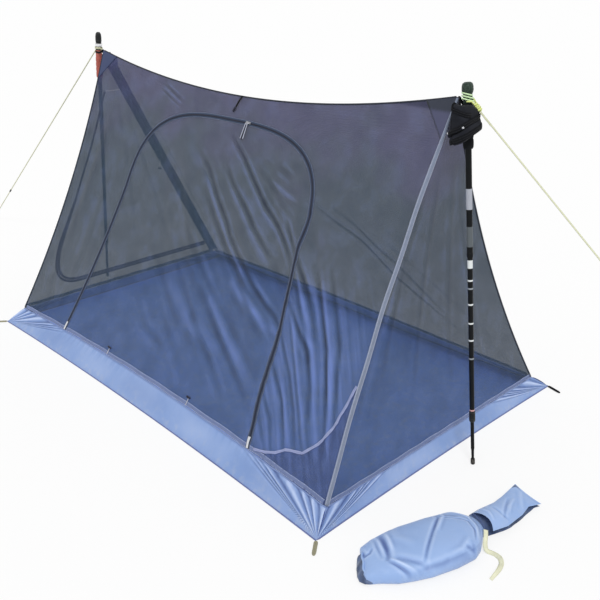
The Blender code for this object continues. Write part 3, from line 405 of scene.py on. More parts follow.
@dataclass(frozen=True)
class ClothFinish(Finish):
    """Coated nylon with a fine weave; its tone attribute paints highlight on ridges and shade in valleys."""

    name: str
    base: Colour
    # valley is the painted shade colour of fold valleys; ridge is the painted highlight colour, which also
    # tints the cloudy wear.
    valley_shade: Colour
    ridge: Colour
    roughness: float = 0.46
    pitch: float = 0.0014
    relief: float = 0.25
    dusty: float = 0.25
    shine: float = 0.42

    def look(self, graph: Graph, spot: Value, pattern: Value) -> Inputs:
        """Woven threads, cloudy wear, painted shade and highlight on the folds, and a little dust."""
        height, tone = graph.effect(plain_weave(), pattern, pitch=self.pitch)
        cloud = graph.spread(graph.noise(spot, 7.0, 4.0), 0.3, 0.7, 0.0, 0.16)
        colour = graph.blend(cloud, self.base, self.ridge)
        colour = graph.blend(tone * 0.1, colour, self.valley_shade)
        # Painted shade in the fold valleys and painted highlight on the ridges, from the tone attribute.
        fold = graph.value("Attribute", {}, "Fac", attribute_name="tone")
        colour = graph.blend(graph.calc("MAXIMUM", fold, 0.0).clamp(), colour, self.valley_shade)
        colour = graph.blend((fold * -1.0).clamp(), colour, self.ridge)
        dusty, = graph.effect(dust(), spot, height=0.05, amount=self.dusty)
        rumple = graph.noise(spot, 55.0) * 2.2
        rough = graph.spread(graph.noise(spot, 30.0), 0.2, 0.8, self.roughness - 0.08, self.roughness + 0.1)
        return {"Base Color": graph.blend(dusty, colour, tint(196, 198, 196)), "Roughness": rough,
                "Normal": graph.bump(height * 0.35 + rumple, self.relief, 0.0012),
                "Sheen Weight": 0.28 * self.shine, "Specular IOR Level": self.shine}


@dataclass(frozen=True)
class TapeFinish(Finish):
    """Woven tape with ribs across it, a line of stitches near each edge, and selvedges."""

    name: str
    base: Colour
    thread: Colour
    half_width: float
    rib: float = 0.0016
    stitch_in: float = 0.0022
    stitch_pitch: float = 0.0042
    stitch_width: float = 0.0009
    roughness: float = 0.78
    edge: Colour | None = None
    shine: float = 0.5

    def look(self, graph: Graph, spot: Value, pattern: Value) -> Inputs:
        """Ribs, stitches and a little fray."""
        x, y, _ = graph.parts(pattern)
        ribs = graph.calc("SINE", x * (math.tau / self.rib))
        cloud = graph.spread(graph.noise(spot, 60.0, 4.0), 0.3, 0.7, 0.0, 0.3)
        darker = deeper(self.base, 0.62)
        colour = graph.blend(cloud, self.base, darker)
        colour = graph.blend(graph.calc("MAXIMUM", ribs, 0.0) * 0.18, colour, darker)
        if self.edge:
            rim = graph.spread(graph.calc("ABSOLUTE", y), self.half_width * 0.66, self.half_width * 0.86)
            colour = graph.blend(rim, colour, self.edge)
        sewn, = graph.effect(stitches(), pattern, line=self.half_width - self.stitch_in,
                             pitch=self.stitch_pitch, width=self.stitch_width)
        rough = self.roughness
        fray = graph.spread(graph.noise(spot, 400.0, 2.0), 0.2, 0.8, rough - 0.1, rough + 0.12)
        return {"Base Color": graph.blend(sewn, colour, self.thread), "Roughness": fray,
                "Normal": graph.bump(ribs * 0.4 + sewn * 0.8, 0.35, 0.0005),
                "Sheen Weight": 0.2 * self.shine, "Specular IOR Level": self.shine}


@dataclass(frozen=True)
class CordFinish(Finish):
    """Braided cord with a flecked tracer thread."""

    name: str
    base: Colour
    fleck: Colour
    pitch: float = 0.0048
    hollow: float = 0.45

    def look(self, graph: Graph, spot: Value, pattern: Value) -> Inputs:
        """Crossing strands with painted shade in the hollows between them, with flecks and a dull fuzz."""
        strands, = graph.effect(braid(), pattern, pitch=self.pitch)
        # Painted shade: the hollows between the strands darken to a share of the base colour.
        colour = graph.blend(graph.spread(strands, 0.1, 0.7), deeper(self.base, self.hollow), self.base)
        fleck = graph.spread(graph.noise(pattern, 70.0, 1.0), 0.6, 0.66, 0.0, 0.8)
        return {"Base Color": graph.blend(fleck, colour, self.fleck),
                "Roughness": graph.spread(graph.noise(spot, 500.0, 2.0), 0.2, 0.8, 0.66, 0.86),
                "Normal": graph.bump(strands, 0.6, 0.0004)}


@dataclass(frozen=True)
class MouldedFinish(Finish):
    """Moulded plastic, rubber, foam or plated metal, with grain and worn edges."""

    name: str
    base: Colour
    worn: Colour
    roughness: float
    grain: float
    relief: float
    wear: float = 0.6
    metallic: float = 0.0
    shine: float = 0.5

    def look(self, graph: Graph, spot: Value, pattern: Value) -> Inputs:
        """A cloudy base with wear on its edges."""
        grain = graph.noise(spot, self.grain, 4.0)
        cloud = graph.spread(graph.noise(spot, 38.0), 0.3, 0.7, 0.0, 0.35)
        colour = graph.blend(cloud, self.base, deeper(self.base, 0.7))
        wear, = graph.effect(edge_wear(), spot, amount=self.wear)
        return {"Base Color": graph.blend(wear, colour, self.worn), "Metallic": self.metallic,
                "Roughness": graph.spread(grain, 0.25, 0.75, self.roughness - 0.08, self.roughness + 0.12),
                "Specular IOR Level": self.shine, "Normal": graph.bump(grain, self.relief, 0.0005)}


class Mark(NamedTuple):
    """A plain printed band on a pole: its middle and half height along the pole, and its colour."""

    middle: float
    half: float
    colour: Colour


@dataclass(frozen=True)
class TubeFinish(Finish):
    """Anodised pole tube with plain printed bands round it, and fine scratches along it."""

    name: str
    foot: Spot
    axis: Spot
    base: Colour
    marks: tuple[Mark, ...]
    reach: float = 1.3

    def look(self, graph: Graph, spot: Value, pattern: Value) -> Inputs:
        """Bands by the height above the foot, and long scratches."""
        along = graph.value("VectorMath", {0: spot, 1: self.axis}, "Value", operation="DOT_PRODUCT")
        height = along - sum(a * b for a, b in zip(self.foot, self.axis))
        bands = graph.add("ValToRGB")
        graph.fill(bands, {0: height / self.reach})
        bands.color_ramp.interpolation = "CONSTANT"
        steps = bands.color_ramp.elements
        steps[0].position = 0.0
        steps[0].color = self.base
        steps.remove(steps[1])
        for mark in sorted(self.marks):
            steps.new((mark.middle - mark.half) / self.reach).color = mark.colour
            steps.new((mark.middle + mark.half) / self.reach).color = self.base
        stretched = graph.value("Mapping", {"Vector": spot, "Scale": (900.0, 900.0, 14.0)})
        streak = graph.noise(stretched, 1.0, 2.0)
        scratch = graph.spread(streak, 0.6, 0.8, 0.0, 0.35)
        return {"Base Color": graph.blend(scratch, Value(graph, bands.outputs[0]), tint(58, 60, 62)),
                "Roughness": graph.spread(streak, 0.2, 0.8, 0.3, 0.48), "Specular IOR Level": 0.12}


def shares(count: int, whole: bool = True) -> Array:
    """Even steps from 0 to 1; without whole, the last step is left out, as on a ring."""
    return np.linspace(0.0, 1.0, count, endpoint=whole)


def ramp(distance: Array, length: float) -> Array:
    """0 before a start and 1 past a length, with a straight rise between."""
    return np.clip(distance / length, 0.0, 1.0)


def bow(t: Array | float) -> Array | float:
    """A shallow sag's shape: 0 at both ends and 1 in the middle."""
    return 4.0 * t * (1.0 - t)


def rows(*columns: Array | float) -> Array:
    """Coordinates put side by side, one row for each point."""
    return np.stack(np.broadcast_arrays(*columns), axis=-1)


def mixed(low: Array, high: Array, share: Array) -> Array:
    """Points part of the way from one set to another, for an array of shares."""
    share = np.asarray(share, dtype=float)[..., None]
    return low * (1.0 - share) + high * share


def unit(vectors: Array) -> Array:
    """Each row scaled to length one."""
    return vectors / np.maximum(np.linalg.norm(vectors, axis=-1, keepdims=True), 1e-12)


def distances(line: Array) -> Array:
    """How far along a line each of its points is."""
    return np.concatenate(((0.0,), np.cumsum(np.linalg.norm(np.diff(line, axis=0), axis=1))))


def along_line(line: Array, t: Array) -> Array:
    """The points of a line at shares of its length, from 0 to 1."""
    gone = distances(line)
    return rows(*(np.interp(t * gone[-1], gone, line[:, k]) for k in range(line.shape[1])))


def evened(line: Sequence[Sequence[float]], count: int) -> Array:
    """A line through the same points with a number of even steps."""
    return along_line(np.array(line), shares(count))


def moved_line(line: Array, distance: float) -> Array:
    """A pattern line moved to its left by a distance."""
    along = unit(np.gradient(line, axis=0))
    return line + rows(-along[:, 1], along[:, 0]) * distance


def headings(line: Array, closed: bool = False) -> Array:
    """The direction of a line at each of its points; a closed line ends on its first point."""
    if not closed:
        return unit(np.gradient(line, axis=0))
    ahead = unit(np.roll(line[:-1], -1, axis=0) - np.roll(line[:-1], 1, axis=0))
    return np.concatenate((ahead, ahead[:1]))


def turning_frames(line: Array) -> Pair:
    """Two directions square to a line at each of its points, which turn as little as they can."""
    ahead = headings(line)
    first = np.cross(ahead[0], UP)
    if np.linalg.norm(first) < 0.1:
        first = np.cross(ahead[0], (1.0, 0.0, 0.0))
    sides = [unit(first)]
    for heading in ahead[1:]:
        sides.append(unit(sides[-1] - heading * np.dot(sides[-1], heading)))
    return np.array(sides), np.cross(ahead, sides)


def frame_at(place: Vector, x: Vector, y: Vector, z: Vector) -> Matrix:
    """A frame at a place, from its three axes."""
    return Matrix.Translation(place) @ Matrix((x, y, z)).transposed().to_4x4()


class Fold(NamedTuple):
    """A fold in cloth: its half width, depth, painted tone (shade above 0, highlight below 0) and flat
    pattern line.
    """

    width: float
    depth: float
    tone: float
    line: Array


def fold_table(*table: tuple[float | Flat, ...]) -> tuple[Fold, ...]:
    """Folds from rows in mm: the half width, depth and tone of each, and then its line's points."""
    return tuple(Fold(width * MM, depth * MM, tone, np.array(line) * MM)
                 for width, depth, tone, *line in table)


def fold_field(folds: Sequence[Fold], x: Array, w: Array) -> Pair:
    """What a set of folds does at pattern points.

    Args:
        folds: The folds.
        x: The points' places along the panel.
        w: The points' places up the panel.

    Returns:
        How far each point is pushed out, and its tone: painted shade above 0, painted highlight below 0.
    """
    depth = np.zeros_like(x)
    tone = np.zeros_like(x)
    for fold in folds:
        line, width = fold.line, fold.width
        gone = distances(line)
        nearest = np.full_like(x, 9.0)
        share = np.zeros_like(x)
        for start, finish, before, after in zip(line[:-1], line[1:], gone[:-1], gone[1:]):
            along = finish - start
            t = ramp((x - start[0]) * along[0] + (w - start[1]) * along[1], (after - before) ** 2)
            away = np.hypot(x - start[0] - along[0] * t, w - start[1] - along[1] * t)
            closer = away < nearest
            share = np.where(closer, (before + t * (after - before)) / gone[-1], share)
            nearest = np.where(closer, away, nearest)
        fade = np.sqrt(np.clip(bow(share), 0.0, 1.0))
        swell = np.exp(-(nearest / width) ** 2) * fade
        beside = np.exp(-((nearest - width * 1.7) / (width * 0.9)) ** 2) * fade
        depth += fold.depth * swell
        # The tone paints shade along each crease and highlight on its flanks; a ridge's negative tone turns
        # both round.
        tone += fold.tone * (swell - 0.55 * beside)
    return depth, tone


@dataclass(frozen=True)
class TentShape:
    """The seams and surfaces of the tent, as the CAD part has them."""

    floor_length: float = 2.03
    floor_width: float = 1.244
    floor_side_bow: float = 0.022
    floor_end_bow: float = 0.008
    rim_length: float = 1.96
    rim_width: float = 1.096
    rim_side_bow: float = 0.016
    rim_height: float = 0.055
    rim_rise: float = 0.021
    apex_height: float = 1.15
    near_apex_x: float = 0.945
    far_apex_x: float = -0.98
    ridge_sag: float = 0.1
    hip_sag_x: float = 0.035
    hip_sag_y: float = 0.02
    hem_r: float = 0.0022
    door_foot_half: float = 0.612
    door_foot_w: float = 0.0046
    door_shoulder_half: float = 0.556
    door_shoulder_height: float = 0.64
    door_head_margin: float = 0.0944
    door_corner_power: float = 2.7
    far_door_head: float = 0.92
    far_door_foot: float = 0.07
    far_door_front_margin: float = 0.055
    far_door_back_margin: float = 0.03
    far_door_corner: float = 0.2

    def apex(self, end: End) -> Array:
        """The peak at an end."""
        return np.array((self.near_apex_x if end is End.NEAR else self.far_apex_x, 0.0, self.apex_height))

    def ridge(self, t: Array) -> Array:
        """The ridge seam, from the far peak to the near one."""
        return mixed(self.apex(End.FAR), self.apex(End.NEAR), t) - rows(0.0, 0.0, self.ridge_sag * bow(t))

    def side_rim(self, side: Side, t: Array) -> Array:
        """The top of a long wall, from the far end to the near end."""
        out = self.rim_width / 2 - self.rim_side_bow * bow(t)
        return rows((t - 0.5) * self.rim_length, side.value * out, self.rim_height + self.rim_rise * bow(t))

    def end_rim(self, end: End, t: Array) -> Array:
        """The top of an end wall, from the front to the back."""
        return rows(end.value * self.rim_length / 2, (t - 0.5) * self.rim_width, self.rim_height)

    def side_hem(self, side: Side, t: Array) -> Array:
        """The floor's edge along a long side, from the far end to the near end."""
        out = self.floor_width / 2 - self.floor_side_bow * bow(t)
        return rows((t - 0.5) * self.floor_length, side.value * out, self.hem_r)

    def end_hem(self, end: End, t: Array) -> Array:
        """The floor's edge along an end, from the front to the back."""
        out = self.floor_length / 2 - self.floor_end_bow * bow(t)
        return rows(end.value * out, (t - 0.5) * self.floor_width, self.hem_r)

    def hip(self, end: End, side: Side, t: Array) -> Array:
        """A hip seam, from its rim corner up to the peak."""
        foot = np.array((end.value * self.rim_length / 2, side.value * self.rim_width / 2, self.rim_height))
        sag = rows(end.value * self.hip_sag_x * bow(t), side.value * self.hip_sag_y * bow(t), 0.0)
        return mixed(foot, self.apex(end), t) - sag

    @property
    def side_rise(self) -> float:
        """The long panel's height on its pattern."""
        middle = np.array(0.5)
        return float(np.linalg.norm(self.ridge(middle) - self.side_rim(Side.FRONT, middle)))

    @property
    def end_rise(self) -> float:
        """The end panel's height on its pattern."""
        return float(np.linalg.norm(self.apex(End.FAR) - self.end_rim(End.FAR, np.array(0.5))))

    @property
    def door_height(self) -> float:
        """The top of the front door on its pattern."""
        return self.side_rise - self.door_head_margin

    def end_half(self, w: Array | float) -> Array | float:
        """Half the end panel's width on its pattern, at a height."""
        return self.rim_width / 2 * (1 - w / self.end_rise)

    @staticmethod
    def out_of(side: Side) -> Array:
        """The way that a long panel's folds push it."""
        return np.array((0.0, side.value * 0.9, 0.45))

    @staticmethod
    def hang(low: Line, high: Line, left: Line, right: Line, u: Array, v: Array) -> Array:
        """Points of the surface that hangs between four seams.

        Args:
            low: The seam below, from left to right.
            high: The seam above, from left to right.
            left: The left seam, from below up.
            right: The right seam, from below up.
            u: The points' shares from left to right.
            v: The points' shares from below up.

        Returns:
            One row of coordinates for each point.
        """
        zero, one = np.array(0.0), np.array(1.0)
        ruled = mixed(low(u), high(u), v) + mixed(left(v), right(v), u)
        return ruled - mixed(mixed(low(zero), low(one), u), mixed(high(zero), high(one), u), v)

    def side_surface(self, side: Side, folds: Sequence[Fold]) -> Surface:
        """The long panel's surface over its flat pattern: x from the middle, w up from the rim."""
        left, right = (partial(self.hip, end, side) for end in End)

        def place(x: Array, w: Array) -> Pair:
            """The panel's places in space and its tone, at pattern points."""
            u, v = x / self.rim_length + 0.5, w / self.side_rise
            spots = self.hang(partial(self.side_rim, side), self.ridge, left, right, u, v)
            depth, tone = fold_field(folds, x, w)
            return spots + depth[:, None] * self.out_of(side), tone
        return place

    def end_surface(self, end: End, folds: Sequence[Fold]) -> Surface:
        """The end panel's surface over its flat pattern: x towards the back, w up from the rim."""
        left, right = (partial(self.hip, end, side) for side in Side)
        foot, peak = partial(self.end_rim, end), partial(mixed, self.apex(end), self.apex(end))

        def place(x: Array, w: Array) -> Pair:
            """The panel's places in space and its tone, at pattern points."""
            v = np.minimum(w / self.end_rise, 0.999)
            u = x / (self.rim_width * (1.0 - v)) + 0.5
            spots = self.hang(foot, peak, left, right, u, v)
            depth, tone = fold_field(folds, x, w)
            return spots + rows(end.value * depth * 0.9, 0.0, depth * 0.3), tone
        return place

    def door_arch(self) -> Array:
        """The front zip's line on the pattern: up the far leg, over the top, down the near leg."""
        share = shares(60, whole=False)
        leg = rows(self.door_foot_half + (self.door_shoulder_half - self.door_foot_half) * share,
                   self.door_foot_w + (self.door_shoulder_height - self.door_foot_w) * share)
        angle = np.linspace(0.0, math.pi / 2, 90)
        power = 2.0 / self.door_corner_power
        crown = rows(self.door_shoulder_half * np.maximum(np.cos(angle), 0.0) ** power,
                     self.door_shoulder_height
                     + (self.door_height - self.door_shoulder_height) * np.sin(angle) ** power)
        near = np.concatenate((leg, crown))
        return np.concatenate((near[:-1] * (-1.0, 1.0), near[::-1]))

    def far_door_line(self) -> Array:
        """The far zip's line on its pattern: down beside the front hip, round, and along the rim."""
        top, foot = self.far_door_head, self.far_door_foot
        heights = top + (foot - top) * np.linspace(0.0, 0.68, 30)
        leg = rows(self.far_door_front_margin - self.end_half(heights), heights)
        corner = np.array((self.far_door_front_margin - self.end_half(foot), foot))
        finish = corner + (self.far_door_corner, 0.0)
        t = shares(30)[1:]
        bend = mixed(mixed(leg[-1], corner, t), mixed(corner, finish, t), t)
        end = np.array((self.end_half(foot) - self.far_door_back_margin, foot))
        return np.concatenate((leg, bend, mixed(finish, end, shares(20)[1:])))


TENT = TentShape()


def on_surface(line: Array, surface: Surface, lift: float = 0.0) -> Pair:
    """A pattern line laid on a surface.

    Args:
        line: The line's pattern points.
        surface: The surface over the pattern.
        lift: How far to stand off the surface, outwards.

    Returns:
        The points in space, and the surface's outward direction at each.
    """
    reach = 0.004
    x, w = line[:, 0], line[:, 1]
    east = surface(x + reach, w)[0] - surface(x - reach, w)[0]
    north = surface(x, w + reach)[0] - surface(x, w - reach)[0]
    ups = unit(np.cross(east, north))
    return surface(x, w)[0] + ups * lift, ups


class Placed(NamedTuple):
    """Where a grid's points go: their places, their flat pattern, and their tone of painted shade and
    highlight.
    """

    spots: Array
    pattern: Array
    tone: Array


class Cut(NamedTuple):
    """How a sheet is cut and held: its flat width and length, what it rests on, and its flat area."""

    flat: Flat
    held: str
    rests_on: tuple[str, ...]
    area: float | None = None


CUTS: dict[str, Cut] = {}


def keep(piece: Piece, node: str = "", body: Body = Body.TENT, cut: Cut | None = None) -> Piece:
    """Let a finished piece ride on its body, and report it.

    Args:
        piece: The piece.
        node: The CAD node that it stands for, if there is one.
        body: The body that it rides on.
        cut: The cut of a sheet, which is logged once all the pieces exist.

    Returns:
        The piece.
    """
    if node:
        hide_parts(node)
    if cut:
        CUTS[piece.name] = cut
    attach(piece, body.value)
    LOG.info("%s rides on %s", piece.name, body.value)
    return piece


def new_piece(name: str, mesh: bpy.types.Mesh, material: Material, smooth: bool = True) -> Piece:
    """A mesh as an object in the scene, at the origin, with its material."""
    mesh.polygons.foreach_set("use_smooth", [smooth] * len(mesh.polygons))
    mesh.materials.append(material)
    piece = bpy.data.objects.new(name, mesh)
    bpy.context.scene.collection.objects.link(piece)
    return piece


def used_up(shape: bmesh.types.BMesh, mesh: bpy.types.Mesh) -> bpy.types.Mesh:
    """Put a bmesh into a mesh, and free it."""
    shape.to_mesh(mesh)
    shape.free()
    return mesh


def thicken(piece: Piece, thickness: float, offset: float = -1.0) -> Piece:
    """Give a sheet its thickness."""
    wall = piece.modifiers.new("thickness", "SOLIDIFY")
    wall.thickness = thickness
    wall.offset = offset
    return piece


def laid_grid(name: str, columns: int, rows_up: int, place: Callable[[Array, Array], Placed], finish: Finish,
              joined: bool = False, capped: bool = False) -> Piece:
    """A grid of faces laid over a shape.

    Args:
        name: The object's name.
        columns: How many faces it has across.
        rows_up: How many faces it has up.
        place: Where the points go, from their shares across and up.
        finish: The finish.
        joined: Whether edges that meet are joined, as on a tube.
        capped: Whether open ends are then closed.

    Returns:
        The object, with its pattern in metres as its UV map and its tone as an attribute.
    """
    shape = bmesh.new()
    bmesh.ops.create_grid(shape, x_segments=columns, y_segments=rows_up, size=1.0)
    mesh = used_up(shape, bpy.data.meshes.new(name))
    flat = np.empty(len(mesh.vertices) * 3)
    mesh.vertices.foreach_get("co", flat)
    u, v = np.clip((flat.reshape(-1, 3)[:, :2].T + 1.0) / 2.0, 0.0, 1.0)
    placed = place(u, v)
    mesh.vertices.foreach_set("co", placed.spots.astype(float).ravel())
    corner = np.empty(len(mesh.loops), dtype=np.int32)
    mesh.loops.foreach_get("vertex_index", corner)
    mesh.uv_layers.new(name="pattern").data.foreach_set("uv", placed.pattern[corner].astype(float).ravel())
    mesh.attributes.new("tone", "FLOAT", "POINT").data.foreach_set("value", placed.tone.astype(float))
    if joined:
        shape = bmesh.new()
        shape.from_mesh(mesh)
        bmesh.ops.remove_doubles(shape, verts=shape.verts, dist=1e-6)
        if capped:
            bmesh.ops.holes_fill(shape, edges=[edge for edge in shape.edges if edge.is_boundary], sides=0)
        bmesh.ops.recalc_face_normals(shape, faces=shape.faces)
        used_up(shape, mesh)
    return new_piece(name, mesh, finish.material())


def cloth(name: str, columns: int, rows_up: int, region: Surface, surface: Surface, finish: Finish) -> Piece:
    """A net panel: a region of the pattern laid on the panel's surface."""
    def place(u: Array, v: Array) -> Placed:
        """The region's points, laid on the panel."""
        x, w = region(u, v)
        spots, tone = surface(x, w)
        return Placed(spots, rows(x, w), tone)
    return laid_grid(name, columns, rows_up, place, finish)


def ribbon(name: str, line: Array, ups: Array | Vector, width: float | Array, finish: Finish,
           thick: float = 0.0008, across: int = 4, crown: float = 0.0, closed: bool = False) -> Piece:
    """A strip of tape that follows a line.

    Args:
        name: The object's name.
        line: The tape's middle line.
        ups: The direction out of its face, or one for each point.
        width: Its width, or one for each point.
        finish: The finish.
        thick: Its thickness.
        across: How many faces it has across.
        crown: How far its middle stands out from its edges.
        closed: Whether the line comes back to its start.

    Returns:
        The object, with metres along and across as its UV map.
    """
    if closed:
        line = np.concatenate((line, line[:1]))
        ups = np.concatenate((ups, ups[:1]))
    ahead = headings(line, closed)
    side = unit(np.cross(ahead, ups))
    up = unit(np.cross(side, ahead))
    gone = distances(line)
    count = len(line) - 1
    widths = np.broadcast_to(np.asarray(width, dtype=float), (len(line),))

    def place(u: Array, v: Array) -> Placed:
        """Points of the tape, from their shares along and across it."""
        index = np.rint(u * count).astype(int)
        off = (v - 0.5) * widths[index]
        spots = line[index] + side[index] * off[:, None] + up[index] * (crown * bow(v))[:, None]
        return Placed(spots, rows(gone[index], off), np.zeros_like(u))

    piece = laid_grid(name, count, across, place, finish, joined=closed)
    return thicken(piece, thick, 0.0) if thick else piece


def tube(name: str, line: Array, radius: float, finish: Finish, around: int = 10, flat: float = 1.0,
         closed: bool = False) -> Piece:
    """A cord or bound seam that follows a line.

    Args:
        name: The object's name.
        line: Its middle line.
        radius: Its radius.
        finish: The finish.
        around: How many faces it has round it.
        flat: The share of its height that is left where it is pressed flat.
        closed: Whether the line comes back to its start; otherwise both ends are capped.

    Returns:
        The object, with metres along and turns round as its UV map.
    """
    if closed:
        line = np.concatenate((line, line[:1]))
        ahead = headings(line, closed)
        one = unit(np.cross(ahead, UP))
        other = np.cross(one, ahead)
    else:
        one, other = turning_frames(line)
    gone = distances(line)
    count = len(line) - 1

    def place(u: Array, v: Array) -> Placed:
        """Points of the cord, from their shares along and round it."""
        index = np.rint(u * count).astype(int)
        angle = (math.tau * v)[:, None]
        out = one[index] * np.cos(angle) + other[index] * np.sin(angle) * flat
        return Placed(line[index] + out * radius, rows(gone[index], v), np.zeros_like(u))

    return laid_grid(name, count, around, place, finish, joined=True, capped=not closed)


def turned(name: str, profile: Sequence[Flat], frame: Matrix, finish: Finish, steps: int = 24) -> Piece:
    """A turned piece: a profile of radius and height spun round its axis.

    Args:
        name: The object's name.
        profile: The profile, from the bottom up.
        frame: Where it stands; its axis is the frame's z.
        finish: The finish.
        steps: How many faces it has round it.

    Returns:
        The object.
    """
    shape = bmesh.new()
    spots = [shape.verts.new((radius, 0.0, height)) for radius, height in profile]
    edges = [shape.edges.new(pair) for pair in zip(spots, spots[1:])]
    bmesh.ops.spin(shape, geom=spots + edges, cent=(0, 0, 0), axis=UP, angle=math.tau, steps=steps,
                   use_merge=True)
    bmesh.ops.remove_doubles(shape, verts=shape.verts, dist=1e-6)
    bmesh.ops.recalc_face_normals(shape, faces=shape.faces)
    bmesh.ops.transform(shape, matrix=frame, verts=shape.verts)
    return new_piece(name, used_up(shape, bpy.data.meshes.new(name)), finish.material())


def merged(name: str, pieces: Sequence[Piece]) -> Piece:
    """Several pieces of one finish made one object; the pieces are removed."""
    shape = bmesh.new()
    for piece in pieces:
        shape.from_mesh(piece.data)
    whole = new_piece(name, used_up(shape, bpy.data.meshes.new(name)), pieces[0].data.materials[0])
    for piece in pieces:
        bpy.data.objects.remove(piece)
    return whole


# Fold tables: each row's tone is painted shade above 0 and painted highlight below 0.
DOOR_FOLDS = fold_table(
    (46, 10, 0.1, (-300, 960), (300, 80)),
    (46, -8, 0.08, (-440, 900), (20, 100)),
    (46, 8, 0.08, (-780, 900), (-800, 120)),
    (9.5, -4, 0.95, (15, 960), (126, 885), (226, 806), (326, 730), (410, 681), (485, 627), (545, 570)),
    (10, -3.5, 0.72, (39, 844), (115, 782), (224, 713), (296, 655), (372, 605), (430, 568)),
    (11, -3.5, 0.72, (-145, 871), (-61, 820), (30, 732), (127, 654), (187, 599), (262, 549), (315, 522),
     (441, 439), (544, 365)),
    (12, -3, 0.42, (-60, 760), (60, 650), (180, 560), (330, 455), (470, 360)),
    (14, -3, 0.34, (-180, 700), (-40, 560), (120, 440), (300, 330), (430, 250)),
    (9, 2, -0.45, (303, 831), (401, 794), (484, 774)),
    (10, -2, 0.4, (318, 884), (414, 845)),
    (10, 2, 0.3, (200, 880), (330, 800), (470, 715)),
    (9, -3, 0.6, (441, 713), (516, 640), (548, 612)),
    (18, 4, -0.6, (264, 457), (389, 412), (580, 345)),
    (10, -3, 0.55, (250, 520), (420, 430), (575, 330)),
    (9, -3, 0.6, (362, 482), (536, 400), (580, 366)),
    (20, 3, -0.45, (180, 380), (360, 270), (560, 170)),
    (14, -3, 0.4, (110, 400), (330, 250), (540, 120)),
    (24, 3, -0.38, (-72, 368), (123, 264), (325, 216)),
    (16, -2, 0.35, (-130, 178), (23, 132)),
    (16, -3, 0.34, (120, 300), (300, 180), (420, 90)),
    (20, -2, 0.24, (-60, 250), (110, 150), (230, 60)),
)
FRAME_FOLDS = fold_table(
    (42, 11, 0.05, (100, 860), (620, 100)),
    (36, -9, 0.05, (260, 900), (740, 80)),
    (36, 11, 0.05, (440, 860), (840, 100)),
    (32, -10, 0.05, (540, 760), (900, 160)),
    (40, 9, 0, (560, 740), (940, 600)),
    (9, -3, 0.7, (555, 610), (631, 532), (686, 470)),
    (9, -4, 0.8, (575, 470), (686, 386), (738, 347), (793, 254), (830, 160)),
    (9, -4, 0.75, (590, 530), (696, 410), (816, 224), (880, 110)),
    (9, -4, 0.75, (585, 360), (684, 264), (750, 175), (815, 60)),
    (8, -3, 0.65, (585, 276), (685, 179), (770, 40)),
    (8, -3, 0.6, (590, 190), (663, 116), (720, 20)),
    (7, -2, 0.5, (600, 125), (662, 45)),
    (10, -4, 0.6, (610, 560), (700, 450), (860, 180), (925, 60)),
    (10, -4, 0.85, (660, 580), (803, 374), (927, 92)),
    (10, -3, 0.55, (720, 600), (856, 400), (945, 130)),
    (14, 4, -0.75, (640, 500), (760, 340), (900, 80)),
    (10, 4, -0.6, (620, 430), (720, 300), (800, 180), (850, 80)),
    (13, 4, -0.65, (700, 560), (830, 380), (936, 120)),
    (9, 3, -0.5, (600, 300), (700, 190), (780, 70)),
    (6, 2, 0.55, (-488, 1086), (-332, 1038)),
    (5, 2, 0.45, (-500, 1062), (-350, 1018)),
    (30, 5, 0.18, (-800, 900), (-860, 120)),
    (22, 4, 0.16, (-700, 700), (-720, 80)),
)
BACK_FOLDS = fold_table(
    (75, 12, 0.06, (-550, 950), (-760, 100)),
    (75, -10, 0.06, (-100, 920), (-280, 100)),
    (75, 12, 0.06, (300, 920), (400, 100)),
    (11, 4, 0.95, (120, 665), (354, 467), (472, 327), (706, 122)),
    (11, 4, 0.84, (260, 640), (420, 485), (521, 399), (684, 173)),
    (12, -3, -0.3, (190, 640), (390, 470), (500, 360), (690, 150)),
    (13, 3, 0.35, (500, 520), (700, 330), (860, 160)),
    (14, 4, 0.25, (-860, 800), (-900, 150)),
    (18, 4, 0.22, (-620, 700), (-680, 100)),
)
END_FOLDS = fold_table(
    (12, 3, 0.28, (-107, 854), (-212, 576), (-290, 302)),
    (12, 3, 0.22, (-40, 900), (-90, 560), (-140, 180)),
    (14, 3, 0.2, (30, 900), (50, 500), (60, 160)),
    (12, 3, 0.26, (80, 800), (180, 450), (240, 180)),
    (14, -3, -0.22, (-150, 720), (-300, 420), (-400, 160)),
)
FLOOR_FOLDS = fold_table(
    (30, 2, -0.1, (-800, -300), (-100, 100), (500, 200)),
    (26, 2.2, -0.12, (100, -500), (450, -100), (900, 200)),
    (20, 2, 0.1, (550, -550), (950, 50)),
    (30, 2.2, 0.1, (-950, 300), (-200, 450), (400, 350)),
    (24, 2, -0.1, (200, 100), (700, 480)),
    (28, 2, 0.08, (-600, -550), (-200, -200)),
)
